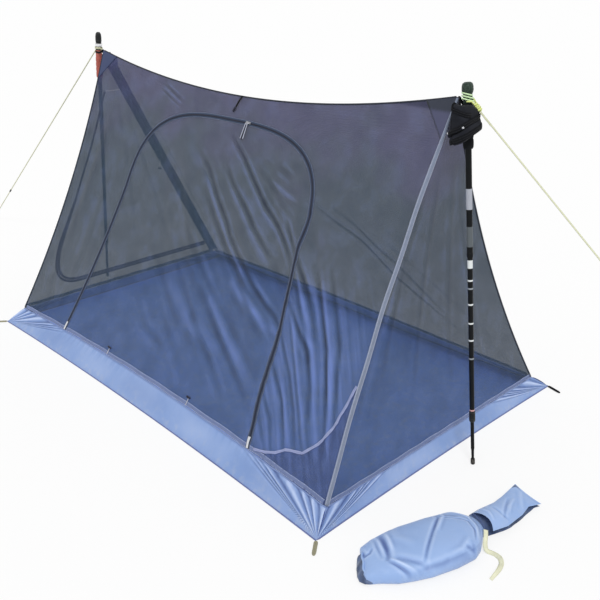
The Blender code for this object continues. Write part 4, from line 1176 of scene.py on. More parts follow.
SACK_FOLDS = fold_table(
    (4.6, -5, 0.9, (64, 56), (60, 30), (8, -19), (-37, -64), (-67, -96)),
    (5, 3, -0.6, (78, 52), (74, 28), (22, -22)),
    (7.5, -6.5, 1, (-118, 56), (-126, 20), (-134, -14), (-141, -34), (-152, -50)),
    (5.5, 4, -0.45, (-102, 54), (-112, 14), (-124, -26)),
    (5, -3.6, 0.6, (-138, 47), (-150, 6), (-158, -36)),
    (5, 4, -0.45, (-146, -46), (-122, -78), (-92, -114)),
    (4.6, -3.6, 0.6, (-150, -50), (-134, -78), (-112, -112)),
    (7, -3.5, 0.45, (-128, -52), (-85, -88), (-60, -110)),
    (3.2, -2.6, 0.7, (74, 56), (68, 26), (110, 0), (130, -14), (126, -52), (104, -86)),
    (8, -2, 0.5, (78, 36), (100, 22), (118, 12)),
    (4.4, 2.6, -0.65, (90, 60), (124, 34), (146, 4), (142, -40), (118, -82)),
    (6, -2, 0.55, (92, -96), (80, -108), (62, -96)),
    (6, 3, -0.35, (90, -76), (50, -100), (0, -110)),
    (6, -3, 0.45, (46, -108), (-20, -114), (-110, -108)),
    (12, 1.8, -0.14, (-80, 60), (-90, 10), (-60, -40)),
    (3.6, -2.8, 0.8, (-186, 30), (-188, 6), (-176, 2), (-161, 14)),
)
HOOD_FOLDS = fold_table(
    (4, -2.6, 0.5, (320, 40), (285, 10), (262, -14), (250, -30)),
    (4, 2, -0.35, (335, 34), (300, 8), (276, -16)),
    (5, -2, 0.35, (240, 20), (250, -20), (262, -36)),
    (6, 2, -0.25, (380, 60), (350, 20), (330, -10)),
    (4, 2, -0.4, (200, 30), (212, 0), (208, -34)),
)
CAD_FOLDS = FRAME_FOLDS[:5] + DOOR_FOLDS[:3]
SACK_SECTIONS = np.array(((-214, -48, -30, 26), (-205, -58, -12, 34), (-190, -68, 26, 44),
    (-178, -76, 52, 52), (-142, -98, 62, 62), (-100, -110, 66, 68), (-50, -120, 68, 73), (30, -122, 64, 75),
    (89, -114, 62, 72), (115, -98, 60, 66), (140, -72, 50, 56), (165, -44, 32, 44),
    (172.5, -40, 28, 40))) * MM
SACK_MOUTH = np.array(((173.5, 20, 45.5), (175, 10, 46.5), (175, -12, 45.5), (174, -30, 42),
    (169, -44, 34))) * MM
BASE_OUTER = np.array(((-192, 36, 18), (-204, 22, 12), (-215, 3, 8), (-225, -18, 6), (-228, -36, 6),
    (-220, -52, 8), (-202, -62, 10))) * MM
BASE_INNER = np.array(((-184, 26, 36), (-192, 12, 36), (-199, -6, 33), (-206, -22, 28), (-207, -34, 25),
    (-206, -46, 21), (-198, -56, 19))) * MM
HOOD_UPPER = np.array(((175, 26, 38), (211, 33, 40), (272, 44, 34), (316, 61, 30), (386, 88, 32))) * MM
HOOD_LOWER = np.array(((190, -54, 32), (249, -48, 24), (323, -22, 18), (362, -3, 20), (410, -4, 14))) * MM
HOOD_BENEATH = np.array(((182, -38, 12), (215, -42, 6), (271, -40, 5), (327, -22, 5), (388, 0, 6),
    (409, -3, 12))) * MM
SACK_STRAP = np.array(((172, -44, 36), (164, -56, 30), (146, -76, 16.5), (143, -88, 6), (153, -92, 2),
    (161, -108, 2), (162, -126, 4.5), (152, -143, 2.2), (129, -160, 6), (90, -176, 2.2))) * MM


@dataclass
class Studio:
    """The pale floor, the soft light and the camera at the photograph's angle."""

    focal: float = 764.885
    frame_width: float = 600.0
    sensor_width: float = 36.0
    place: Spot = (2.23445, -1.81355, 1.4904)
    view: Spot = (-0.6697, 0.62501, -0.40108)
    roll: float = -0.553
    ambient: float = 0.66
    sun: float = 1.35
    sun_from: Spot = (0.62, -0.55, 1.1)
    sun_spread: float = 16.0
    floor_white: float = 0.74

    def build(self) -> None:
        """Make the camera, the light and the floor."""
        self.build_camera()
        self.build_light()
        self.build_floor()

    def build_camera(self) -> None:
        """The camera, from the place and view that fit the photograph."""
        ahead = Vector(self.view).normalized()
        level = ahead.cross(UP).normalized()
        upward = level.cross(ahead)
        turn = math.radians(self.roll)
        right = level * math.cos(turn) + upward * math.sin(turn)
        up = upward * math.cos(turn) - level * math.sin(turn)
        data = bpy.data.cameras.new("camera")
        data.sensor_width = self.sensor_width
        data.lens = self.focal / self.frame_width * self.sensor_width
        data.clip_end = 200.0
        camera = bpy.data.objects.new("camera", data)
        camera.matrix_world = frame_at(Vector(self.place), right, up, -ahead)
        bpy.context.scene.collection.objects.link(camera)
        bpy.context.scene.camera = camera
        bpy.context.scene.view_settings.view_transform = "Standard"

    @staticmethod
    def seen_share(graph: Graph) -> Value:
        """1 for rays that show the background, and 0 for rays that light the object."""
        path = graph.add("LightPath")
        camera, glossy, through = (Value(graph, path.outputs[f"Is {kind} Ray"])
                                   for kind in ("Camera", "Glossy", "Transmission"))
        return (camera + glossy + through).clamp()

    def build_light(self) -> None:
        """A soft sun and an even sky that the camera sees as white."""
        world = bpy.data.worlds.new("studio")
        bpy.context.scene.world = world
        world.use_nodes = True
        graph = Graph(world.node_tree)
        strength = self.seen_share(graph) * (1.0 - self.ambient) + self.ambient
        graph.fill(world.node_tree.nodes["Background"], {"Color": (1.0, 1.0, 1.0, 1.0), "Strength": strength})
        data = bpy.data.lights.new("soft sun", "SUN")
        data.energy = self.sun
        data.angle = math.radians(self.sun_spread)
        lamp = bpy.data.objects.new("soft sun", data)
        lamp.rotation_euler = Vector(self.sun_from).to_track_quat("Z", "Y").to_euler()
        bpy.context.scene.collection.objects.link(lamp)

    def build_floor(self) -> None:
        """The pale floor, which shows as white and keeps a soft shadow."""
        material = bpy.data.materials.new("studio floor")
        material.use_nodes = True
        graph = Graph(material.node_tree)
        nodes = graph.tree.nodes
        nodes.remove(nodes["Principled BSDF"])
        matt = graph.value("BsdfDiffuse", {"Color": (0.96, 0.96, 0.96, 1.0)})
        share = self.seen_share(graph) * self.floor_white
        mix = graph.value("MixShader", {0: share, 1: matt, 2: graph.value("Emission", {})})
        graph.fill(nodes["Material Output"], {0: mix})
        shape = bmesh.new()
        bmesh.ops.create_grid(shape, x_segments=1, y_segments=1, size=40.0)
        new_piece("studio_floor", used_up(shape, bpy.data.meshes.new("studio_floor")), material)


@dataclass
class PoleFrame:
    """One trekking pole's own frame: its z runs up the pole from its foot."""

    end: End
    foot_out: float
    top_out: float
    proud: float
    head_length: float
    neck_length: float
    lower_tube_r: float = 0.0058

    def __post_init__(self) -> None:
        """Work out the pole's frame from where its foot and top are."""
        foot = Vector((self.end.value * (TENT.floor_length / 2 + self.foot_out), 0.0, 0.0))
        top = Vector(TENT.apex(self.end)) + Vector((self.end.value * self.top_out, 0.0, self.proud))
        self.up = (top - foot).normalized()
        side = Vector((0.0, 1.0, 0.0)).cross(self.up).normalized()
        sole = abs(self.up.x) * self.lower_tube_r * 1.2
        seat = foot + self.up * (sole / self.up.z + 0.0003)
        self.name = self.end.name.lower()
        self.frame = frame_at(seat, side, self.up.cross(side), self.up)
        self.neck_foot = (top - foot).length - self.head_length - self.neck_length

    def at(self, height: float, x: float = 0.0, y: float = 0.0) -> Vector:
        """A place in the pole's frame, in the tent's frame."""
        return self.frame @ Vector((x, y, height))


NEAR_POLE = PoleFrame(End.NEAR, 0.092, 0.028, 0.0425, 0.03, 0.028)
FAR_POLE = PoleFrame(End.FAR, 0.175, 0.033, 0.0733, 0.048, 0.029)


@dataclass
class Guyline:
    """A taut guyline from a pole's wraps down to the ground, with the loop that goes over its peg."""

    end: End
    start: Spot
    peg: Spot
    finish: CordFinish
    radius: float = 0.0024
    loop_length: float = 0.03
    loop_half: float = 0.0085
    tail: float = 0.0
    tail_gap: float = 0.0052
    loop_lift: float = 0.0022
    through: Spot | None = None

    def build(self, knot: Sequence[Piece] = ()) -> None:
        name = self.end.name.lower()
        start, peg = Vector(self.start), Vector(self.peg)
        ahead = (peg - start).normalized()
        line = evened([start, self.through, peg] if self.through else [start, peg], 41)
        cord = tube(f"guyline_{name}_braid", line, self.radius, self.finish)
        with_it = [self.end_loop(name, peg, ahead), *knot]
        keep(cord, f"guyline_{name}")
        if self.tail:
            side = ahead.cross(UP).normalized() * self.tail_gap
            over = np.array([start + ahead * (self.tail * t) + side * (1.0 + 0.25 * math.sin(t * 15.0))
                             for t in shares(31)])
            strand = tube(f"guy_tail_{name}", over, self.radius * 0.9, self.finish, around=8)
            with_it.append(keep(strand))
        2 * self.radius

    def end_loop(self, name: str, peg: Vector, ahead: Vector) -> Piece:
        """The knotted loop that goes over a peg, at the line's end on the ground."""
        level = Vector((ahead.x, ahead.y, 0.0)).normalized()
        side = Vector((-level.y, level.x, 0.0))
        back = peg - level * self.loop_length + UP * self.loop_lift
        spots = []
        for angle in math.tau * shares(48, whole=False):
            reach = self.loop_length * (0.5 - 0.5 * math.cos(angle))
            wide = self.loop_half * math.sin(angle) * (0.35 + 0.65 * math.sin(angle / 2) ** 2)
            spots.append(back + level * reach + side * wide)
        loop = tube(f"guy_loop_{name}", np.array(spots), self.radius, self.finish, closed=True)
        return keep(loop)


@dataclass
class PoleCords:
    """The cord wound round a pole's neck."""

    pole: PoleFrame
    turns: int
    finish: CordFinish
    slot: Slot
    wrap_r: float = 0.0021
    neck_r: float = 0.013
    gap: float = 0.0003
    slant: float = 0.0
    loose: float = 0.0
    spacing: float = 0.0009
    lift: float = 0.0012
    per_turn: int = 36

    def build(self) -> None:
        """Make the wraps as one unbroken cord."""
        radius = self.neck_r + self.wrap_r + self.gap
        pitch = self.wrap_r * 2 + self.spacing
        foot = self.pole.neck_foot + self.wrap_r + self.lift
        spots = []
        for k in range(self.turns * self.per_turn + 1):
            angle = math.tau * k / self.per_turn
            height = foot + pitch * k / self.per_turn - self.slant * math.cos(angle - math.pi / 4)
            out = radius * (1.0 + self.loose * math.sin(angle * 1.7 + k / 30))
            spots.append(self.pole.at(height, out * math.cos(angle), out * math.sin(angle)))
        wraps = tube(f"wraps_{self.pole.name}", np.array(spots), self.wrap_r, self.finish, around=12)
        keep(wraps, f"cord_wraps_{self.pole.name}")


@dataclass
class HitchKnot:
    """The hitch under the near pole's wraps: two strands that run into a coil round the guyline."""

    start: Spot
    heading: Spot
    finish: CordFinish
    pole: PoleFrame
    cord_r: float = 0.003
    coil_r: float = 0.0074
    coil_length: float = 0.022
    turns: float = 3.6
    strand_out: float = 0.0166

    def build(self) -> list[Piece]:
        """Make the two strands, the coil and the short end that hangs from it, and return them."""
        seat = Vector(self.start)
        ahead = Vector(self.heading).normalized()
        side = ahead.cross(UP).normalized()
        over = side.cross(ahead)
        back = seat - ahead * (self.coil_length + 0.002)
        coil = []
        for t in shares(120):
            angle = math.tau * self.turns * t
            reach = self.coil_r * (0.72 + 0.28 * abs(math.sin(math.pi * t)) ** 0.5)
            coil.append(back + ahead * (self.coil_length * t) + side * reach * math.cos(angle)
                        + over * reach * math.sin(angle))
        knot = tube("guy_knot_coil", np.array(coil), self.cord_r, self.finish)
        pieces = [keep(knot, "guy_knot_near")]
        for name, turn, low in (("front", -1.15, 0.0), ("back", 1.9, 0.004)):
            line = []
            for t in np.linspace(1.0, 0.3, 12):
                out = self.strand_out - 0.003 * t ** 4
                line.append(self.pole.at(self.pole.neck_foot + 0.006 + low, out * math.cos(turn * t),
                                         out * math.sin(turn * t)))
            line += [seat - ahead * 0.008 + over * 0.002, seat - ahead * 0.003]
            strand = tube(f"guy_strand_{name}", evened(line, 50), self.cord_r * 0.92, self.finish, around=8)
            pieces.append(keep(strand))
        end = [coil[30] - side * self.coil_r * (0.4 + t) + over * (0.006 * t) + ahead * 0.02 * t * t
               for t in shares(20)]
        last = tube("guy_knot_end", np.array(end), self.cord_r * 0.8, self.finish, around=8)
        return [*pieces, keep(last)]


def ripples(spot: Array, *waves: Spot) -> Array:
    """A sum of sine waves, from the height, rate and start of each."""
    return sum(height * np.sin(spot * rate + start) for height, rate, start in waves)


def streaked(surface: Surface) -> Surface:
    """The front panel's surface with the fine slack streaks beside its creases.

    Args:
        surface: The surface without them.

    Returns:
        The surface with them, as painted shade and highlight in its tone and a little in its shape.
    """
    def place(x: Array, w: Array) -> Pair:
        """The surface at pattern points, with its streaks."""
        spots, tone = surface(x, w)
        fan = w + 1.32 * (x - 0.57) + 0.45 * np.clip(x - 0.57, 0.0, None) ** 2
        stripes = ripples(fan, (1.0, 88.0, 1.0), (0.7, 151.0, 2.0), (0.5, 239.0, 0.0)) / 2.2
        beside = ramp(x - 0.555, 0.04) * ramp(0.66 - w, 0.25) * ramp(0.995 - x, 0.06)
        slope = w + 0.72 * x
        soft = ripples(slope, (1.0, 61.0, 0.6), (0.8, 104.0, 1.4), (0.5, 37.0, 0.0)) / 2.3
        within = ramp(x + 0.42, 0.4) * ramp(0.56 - x, 0.05) * ramp(0.98 - w, 0.25) * ramp(w - 0.02, 0.3)
        push = 0.0011 * stripes * beside + 0.001 * soft * within
        from_ridge = TENT.side_rise - w
        from_peak = TENT.rim_length / 2 - x
        band = ramp(0.046 * np.clip(1 - from_peak / 0.25, 0, 1) - from_ridge, 0.006)
        # Painted shade and highlight along the streaks, painted highlight over the stretch beside the door's
        # near leg, and a darker band under the ridge by the near peak.
        tone = tone - (0.27 * stripes + 0.26) * beside - 0.2 * soft * within + 0.75 * band
        return spots + push[:, None] * TENT.out_of(Side.FRONT), tone
    return place


def between(inner: Sequence[Array], outer: Sequence[Array], u: Array, v: Array) -> Pair:
    """Pattern points of a band between an opening and the panel's edge.

    Args:
        inner: The opening's sides, one after the other.
        outer: The edge's sides that face them.
        u: The points' shares along all the sides.
        v: The points' shares from the opening outwards.

    Returns:
        The points' places along the panel and up it.
    """
    count = len(inner)
    part = np.minimum((u * count).astype(int), count - 1)
    spots = np.zeros((len(u), 2))
    for index in range(count):
        here = part == index
        share = u[here] * count - index
        edge = along_line(np.array(outer[index]), share)
        spots[here] = mixed(along_line(inner[index], share), edge, v[here])
    return spots[:, 0], np.maximum(spots[:, 1], 0.0)


@dataclass
class Canopy:
    """The net panels, the front door's and far door's leaves, and the doubled near front corner."""

    net: NetFinish
    doubled: NetFinish
    gusset: tuple[Flat, ...] = (
        (0.64, 0.014), (0.69, 0.026), (0.735, 0.043), (0.772, 0.068), (0.842, 0.086), (0.878, 0.118),
        (0.912, 0.158), (0.938, 0.209), (0.958, 0.27), (0.973, 0.318))
    seam: float = 0.0012
    tip_share: float = 0.992
    arch_turn: int = 105
    far_turn: int = 44

    def __post_init__(self) -> None:
        """Lay out the surfaces that the panels and their trim follow."""
        self.front = streaked(TENT.side_surface(Side.FRONT, FRAME_FOLDS + DOOR_FOLDS))
        self.back = TENT.side_surface(Side.BACK, BACK_FOLDS)
        self.far = TENT.end_surface(End.FAR, END_FOLDS)
        self.near = TENT.end_surface(End.NEAR, END_FOLDS)

    def build(self) -> None:
        """Make every panel, and record each one's cut as a sheet."""
        rim, both = ("rim_binding",), ("rim_binding", "ridge_binding")
        panels = (
            ("front_net", 560, 60, self.front_frame_region, self.front, "net_front", Body.TENT,
             Cut((1.96, 1.11), "hung", both, 1.06)),
            ("front_door_net", 210, 180, self.front_door_region, self.front, "door_front", Body.FRONT_DOOR,
             Cut((1.22, 1.02), "hung", rim, 1.13)),
            ("back_net", 190, 110, self.back_region, self.back, "net_back", Body.TENT,
             Cut((1.96, 1.11), "hung", both, 2.17)),
            ("near_end_net", 110, 110, self.end_region, self.near, "net_near_end", Body.TENT,
             Cut((1.1, 1.1), "hung", rim, 0.6)),
            ("far_end_net", 440, 14, self.far_frame_region, self.far, "net_far_end", Body.TENT,
             Cut((0.07, 2.9), "hung", rim, 0.165)),
            ("far_door_net", 100, 110, self.far_door_region, self.far, "door_far", Body.FAR_DOOR,
             Cut((0.94, 0.86), "hung", ("far_door_tape",), 0.44)),
        )
        for name, columns, rows_up, region, surface, node, body, cut in panels:
            keep(cloth(name, columns, rows_up, region, surface, self.net), node, body, cut)
        self.build_gusset()

    def arch_sides(self, distance: float) -> tuple[Array, Array, Array]:
        """The arch's far leg, crown and near leg, moved outwards by a distance."""
        line, turn = moved_line(TENT.door_arch(), distance), self.arch_turn
        return line[:turn], line[turn - 1:len(line) - turn + 1], line[-turn:]

    def front_frame_region(self, u: Array, v: Array) -> Pair:
        """The front panel round its door: u goes up, over and down the arch, v from the arch outwards."""
        half, rise, foot = TENT.rim_length / 2, TENT.side_rise, 0.002
        outer = (((-half, foot), (-half, rise)), ((-half, rise), (half, rise)), ((half, rise), (half, foot)))
        return between(self.arch_sides(self.seam), outer, u, v)

    def front_door_region(self, u: Array, v: Array) -> Pair:
        """The door's leaf inside the arch."""
        far, crown, near = self.arch_sides(-self.seam)
        sides = (np.array((far[0], near[-1])), crown, far, near[::-1])
        return tuple(TENT.hang(*(partial(along_line, side) for side in sides), u, v).T)

    @staticmethod
    def back_region(u: Array, v: Array) -> Pair:
        """The whole back panel."""
        return (u - 0.5) * TENT.rim_length, v * TENT.side_rise

    def end_region(self, u: Array, v: Array) -> Pair:
        """A whole end panel, up to just under its peak."""
        v = v * self.tip_share
        return (u - 0.5) * TENT.rim_width * (1 - v), v * TENT.end_rise

    def far_door_sides(self, distance: float) -> tuple[Array, Array, Array, Array]:
        """The far door's outline: its leg downwards, its foot, its hinge upwards and its head."""
        line, turn = moved_line(TENT.far_door_line(), distance), self.far_turn
        top = line[0]
        hinge_top = (TENT.end_half(top[1]) - TENT.far_door_back_margin, top[1])
        return line[:turn], line[turn - 1:], np.array((line[-1], hinge_top)), np.array((hinge_top, top))

    def far_door_region(self, u: Array, v: Array) -> Pair:
        """The far door's leaf."""
        leg, foot, hinge, head = self.far_door_sides(self.seam)
        sides = (foot, head[::-1], leg[::-1], hinge)
        return tuple(TENT.hang(*(partial(along_line, side) for side in sides), u, v).T)

    def far_frame_region(self, u: Array, v: Array) -> Pair:
        """The far end panel round its door: u goes once round the door, v from the door outwards."""
        top, foot = TENT.far_door_head, TENT.end_half(0.0)
        left, right = (-TENT.end_half(top), top), (TENT.end_half(top), top)
        peak = (0.0, TENT.end_rise * self.tip_share)
        outer = ((left, (-foot, 0.0)), ((-foot, 0.0), (foot, 0.0)), ((foot, 0.0), right), (right, peak, left))
        return between(self.far_door_sides(-self.seam), outer, u, v)

    def build_gusset(self) -> None:
        """The second layer of net in the near front corner, under the pale tape's line."""
        half = TENT.rim_length / 2
        outer = np.array(((0.64, 0.003), (half, 0.003), (half, 0.318)))

        def region(u: Array, v: Array) -> Pair:
            """The patch between the pale tape and the panel's edge."""
            return tuple(mixed(along_line(np.array(self.gusset), u), along_line(outer, u), v).T)

        def lifted(x: Array, w: Array) -> Pair:
            """The front panel's surface, moved out by the gap to the patch."""
            spots, tone = self.front(x, w)
            return spots + TENT.out_of(Side.FRONT) * self.seam, tone

        patch = cloth("gusset_net", 90, 26, region, lifted, self.doubled)
        keep(patch, cut=Cut((0.34, 0.29), "hung", ("rim_binding",), 0.052))


@dataclass
class Seams:
    """The bound seams: hem, rim, ridge and hips, the caps at the peaks and the tapes inside the rim."""

    dark: TapeFinish
    pale: TapeFinish
    band: TapeFinish
    rim: TapeFinish
    hem: TapeFinish
    near_cap: ClothFinish
    far_cap: ClothFinish
    rim_tape: TapeFinish
    canopy: Canopy
    rim_r: float = 0.0026
    ridge_r: float = 0.0023
    hip_r: float = 0.003
    rim_tape_width: float = 0.015
    rim_tape_lift: float = 0.0011
    pale_width: float = 0.0125
    band_width: float = 0.046
    cap_reach: float = 0.11
    cap_drop: float = 0.12
    cap_lift: float = 0.0016

    def build(self) -> None:
        """Make every seam."""
        self.build_hem_and_rim()
        ridge = TENT.ridge(np.linspace(0.004, 0.997, 90))
        seam = tube("ridge_binding", ridge, self.ridge_r, self.dark, around=12, flat=1.25)
        keep(seam, "ridge_seam")
        for end in End:
            for side in Side:
                self.build_hip(end, side)
        for end in End:
            self.build_cap(end)
        self.build_rim_tapes()

    def build_rim_tapes(self) -> None:
        """The stitched tape inside the rim, along the net's lower edge on each side."""
        t = np.linspace(0.004, 0.996, 240)
        long_half, short_half = TENT.rim_length / 2, TENT.rim_width / 2
        sides = (("front", self.canopy.front, long_half, 1.0), ("back", self.canopy.back, long_half, -1.0),
                 ("near", self.canopy.near, short_half, 1.0), ("far", self.canopy.far, short_half, -1.0))
        for name, surface, reach, inward in sides:
            line = rows((2 * t - 1) * (reach - 0.006), 0.0105 + 0.0009 * np.sin(t * 61.0))
            spots, ups = on_surface(line, surface)
            spots += ups * self.rim_tape_lift * inward
            tape = ribbon(f"rim_tape_{name}", spots, ups, self.rim_tape_width, self.rim_tape, thick=0.0007)
            keep(tape)

    @staticmethod
    def outline(long_line: Callable[[Side, Array], Array], short_line: Callable[[End, Array], Array],
                count: int) -> Array:
        """A closed line round the tent, from its four sides.

        Args:
            long_line: The line along a long side.
            short_line: The line along a short end.
            count: How many points it gets.

        Returns:
            The points, once round.
        """
        t = shares(60)
        sides = (long_line(Side.FRONT, t), short_line(End.NEAR, t), long_line(Side.BACK, t)[::-1],
                 short_line(End.FAR, t)[::-1])
        whole = np.concatenate([line[:-1] for line in sides])
        return along_line(np.concatenate((whole, whole[:1])), shares(count, whole=False))

    def build_hem_and_rim(self) -> None:
        """The dark hem round the floor, and the rim where the walls meet the net."""
        hem = self.outline(TENT.side_hem, TENT.end_hem, 420)
        keep(tube("hem_binding", hem, TENT.hem_r, self.hem, closed=True), "floor_hem")
        line = self.outline(TENT.side_rim, TENT.end_rim, 640)
        step = np.arange(len(line))
        line[:, 2] += 0.0009 * np.sin(step * 0.83) + 0.0007 * np.sin(step * 0.31 + 1.3)
        keep(tube("rim_binding", line, self.rim_r, self.rim, closed=True), "rim_seam")

    def build_hip(self, end: End, side: Side) -> None:
        """A hip seam: a flat pale tape, a wide dark band, or one of two narrow bindings."""
        pale = (end, side) == (End.NEAR, Side.FRONT)
        t = np.linspace(0.006, 0.996 if pale else 0.985, 120)
        line = TENT.hip(end, side, t)
        out = unit(np.array((end.value, side.value * 0.88, 0.46)))
        node = f"hip_tape_{end.name.lower()}_{side.name.lower()}"
        if pale:
            slack = (0.0016 * np.sin(t * 23.0) * bow(t))[:, None] * np.array((0.6, 0.7, 0.0))
            over = (0.0024 + 0.0028 * ramp(t - 0.86, 0.04))[:, None] * out
            wide = self.pale_width * (0.56 + 0.44 * ramp(0.985 - t, 0.16))
            piece = ribbon(node + "_flat", line + over + slack, out, wide, self.pale, thick=0.001, across=6,
                           crown=0.004)
        elif (end, side) == (End.FAR, Side.BACK):
            piece = ribbon(node + "_band", line - out * 0.001, out, self.band_width, self.band, thick=0.0012,
                           across=10, crown=0.012)
        else:
            piece = tube(node + "_bound", line, self.hip_r, self.dark, around=12)
        keep(piece, node)

    def build_cap(self, end: End) -> None:
        """The reinforced patch that closes a peak, sewn over three panels."""
        name = f"peak_cap_{end.name.lower()}"
        near = end is End.NEAR
        finish, surface = (self.near_cap, self.canopy.near) if near else (self.far_cap, self.canopy.far)
        half, rise = TENT.rim_length / 2 * end.value, TENT.side_rise
        corner = np.array((half, rise - 0.002))
        along = np.array((half - end.value * self.cap_reach, rise - 0.001))
        down = np.array((half, rise - self.cap_drop))

        def flank(u: Array, v: Array, side: Side, surface: Surface) -> Placed:
            """The cap's part on a long panel."""
            spots = mixed(corner, mixed(along, down, u), v)
            laid, tone = surface(spots[:, 0], spots[:, 1])
            seam = ramp(0.0035 - np.abs((1 - v) * 0.08), 0.0015)
            return Placed(laid + TENT.out_of(side) * self.cap_lift, spots, tone + 0.5 * seam)

        def face(u: Array, v: Array) -> Placed:
            """The cap's part on the end panel."""
            drop = 1.0 - 0.55 * (1 - np.abs(2 * u - 1)) ** 1.2
            w = np.minimum(TENT.end_rise * (1 - self.cap_drop / rise * v * drop), TENT.end_rise * 0.994)
            x = (u - 0.5) * TENT.rim_width * (1 - w / TENT.end_rise)
            laid, tone = surface(x, w)
            return Placed(laid + np.array((end.value, 0.0, 0.05)) * self.cap_lift, rows(x, w), tone)

        panels = ((Side.FRONT, self.canopy.front), (Side.BACK, self.canopy.back))
        pieces = [laid_grid(name + side.name, 16, 16, partial(flank, side=side, surface=panel), finish,
                            joined=True) for side, panel in panels]
        pieces.append(laid_grid(name + "end", 12, 16, face, finish, joined=True))
        keep(thicken(merged(name + "_patch", pieces), 0.001), name)


@dataclass
class Belts:
    """The webbing belts that tie the peaks to the poles, and the loops at the floor's corners."""

    webbing: TapeFinish
    olive: TapeFinish
    grip_r: float = 0.015
    squeeze: float = 0.93
    gap: float = 0.0003
    below_neck: float = 0.008
    width: float = 0.008
    thick: float = 0.002
    tip: float = 0.0024
    tip_gap: float = 0.0024
    loop_length: float = 0.052
    loop_width: float = 0.017
    loop_r: float = 0.0024
    loop_cord_r: float = 0.0037

    def build(self) -> None:
        """Make the belts and the loops."""
        for pole in (NEAR_POLE, FAR_POLE):
            self.build_belt(pole)
        for end in End:
            for side in Side:
                self.build_loop(end, side)

    def build_belt(self, pole: PoleFrame) -> None:
        """A belt round the grip and back to the cap's tip."""
        up = pole.up
        centre = pole.at(pole.neck_foot - self.below_neck)
        reach = Vector(TENT.apex(pole.end)) - centre
        lift = up * (reach.dot(up) - self.width / 4)
        reach -= up * reach.dot(up)
        distance = reach.length - self.tip - self.tip_gap
        ahead = reach.normalized()
        across = up.cross(ahead).normalized()
        big = self.grip_r * self.squeeze + self.gap + self.thick / 2
        lean = math.acos((big - self.tip) / distance)

        def arc(middle: Vector, radius: float, start: float, turn: float, steps: int
                ) -> tuple[list[Vector], list[Vector]]:
            """Places on an arc about a middle, and the way out at each."""
            angles = [start + turn * k / steps for k in range(steps + 1)]
            outs = [ahead * math.cos(angle) + across * math.sin(angle) for angle in angles]
            return [middle + out * radius for out in outs], outs

        grip, grip_outs = arc(centre, big, lean, math.tau - 2 * lean, 32)
        tips, tip_outs = arc(centre + ahead * distance + lift, self.tip, -lean, 2 * lean, 8)
        spots = [*grip, grip[-1].lerp(tips[0] - lift, 0.5), *tips, grip[0].lerp(tips[-1] - lift, 0.5)]
        ups = [*grip_outs, grip_outs[-1], *tip_outs, grip_outs[0]]
        name = f"peak_loop_{pole.name}"
        belt = ribbon(name + "_belt", np.array(spots), np.array(ups), self.width, self.webbing,
                      thick=self.thick * 0.8, closed=True)
        keep(belt, name)

    def build_loop(self, end: End, side: Side) -> None:
        """A loop at a floor corner, lying on the ground."""
        corner = Vector((end.value * TENT.floor_length / 2, side.value * TENT.floor_width / 2, self.loop_r))
        black = (end, side) == (End.NEAR, Side.BACK)
        out = Vector((0.97, -0.24, 0.0) if black else (end.value * 0.62, side.value * 0.78, 0.0)).normalized()
        across = Vector((-out.y, out.x, 0.0))
        half = self.loop_width / 2
        start = corner + out * (TENT.hem_r + self.loop_r + half + 0.00015)
        spots = []
        for angle in math.tau * shares(56, whole=False):
            ahead = self.loop_length - self.loop_width if math.cos(angle) > 0 else 0.0
            wide = self.loop_width * 0.15 * math.sin(angle) * (1.0 - 0.35 * math.cos(angle))
            spots.append(start + out * (ahead + half * math.cos(angle)) + across * wide)
        name = f"corner_loop_{end.name.lower()}_{side.name.lower()}"
        finish = self.webbing if black else self.olive
        loop = tube(name + "_webbing", np.array(spots), self.loop_cord_r, finish, around=12, flat=0.65,
                    closed=True)
        keep(loop, name)


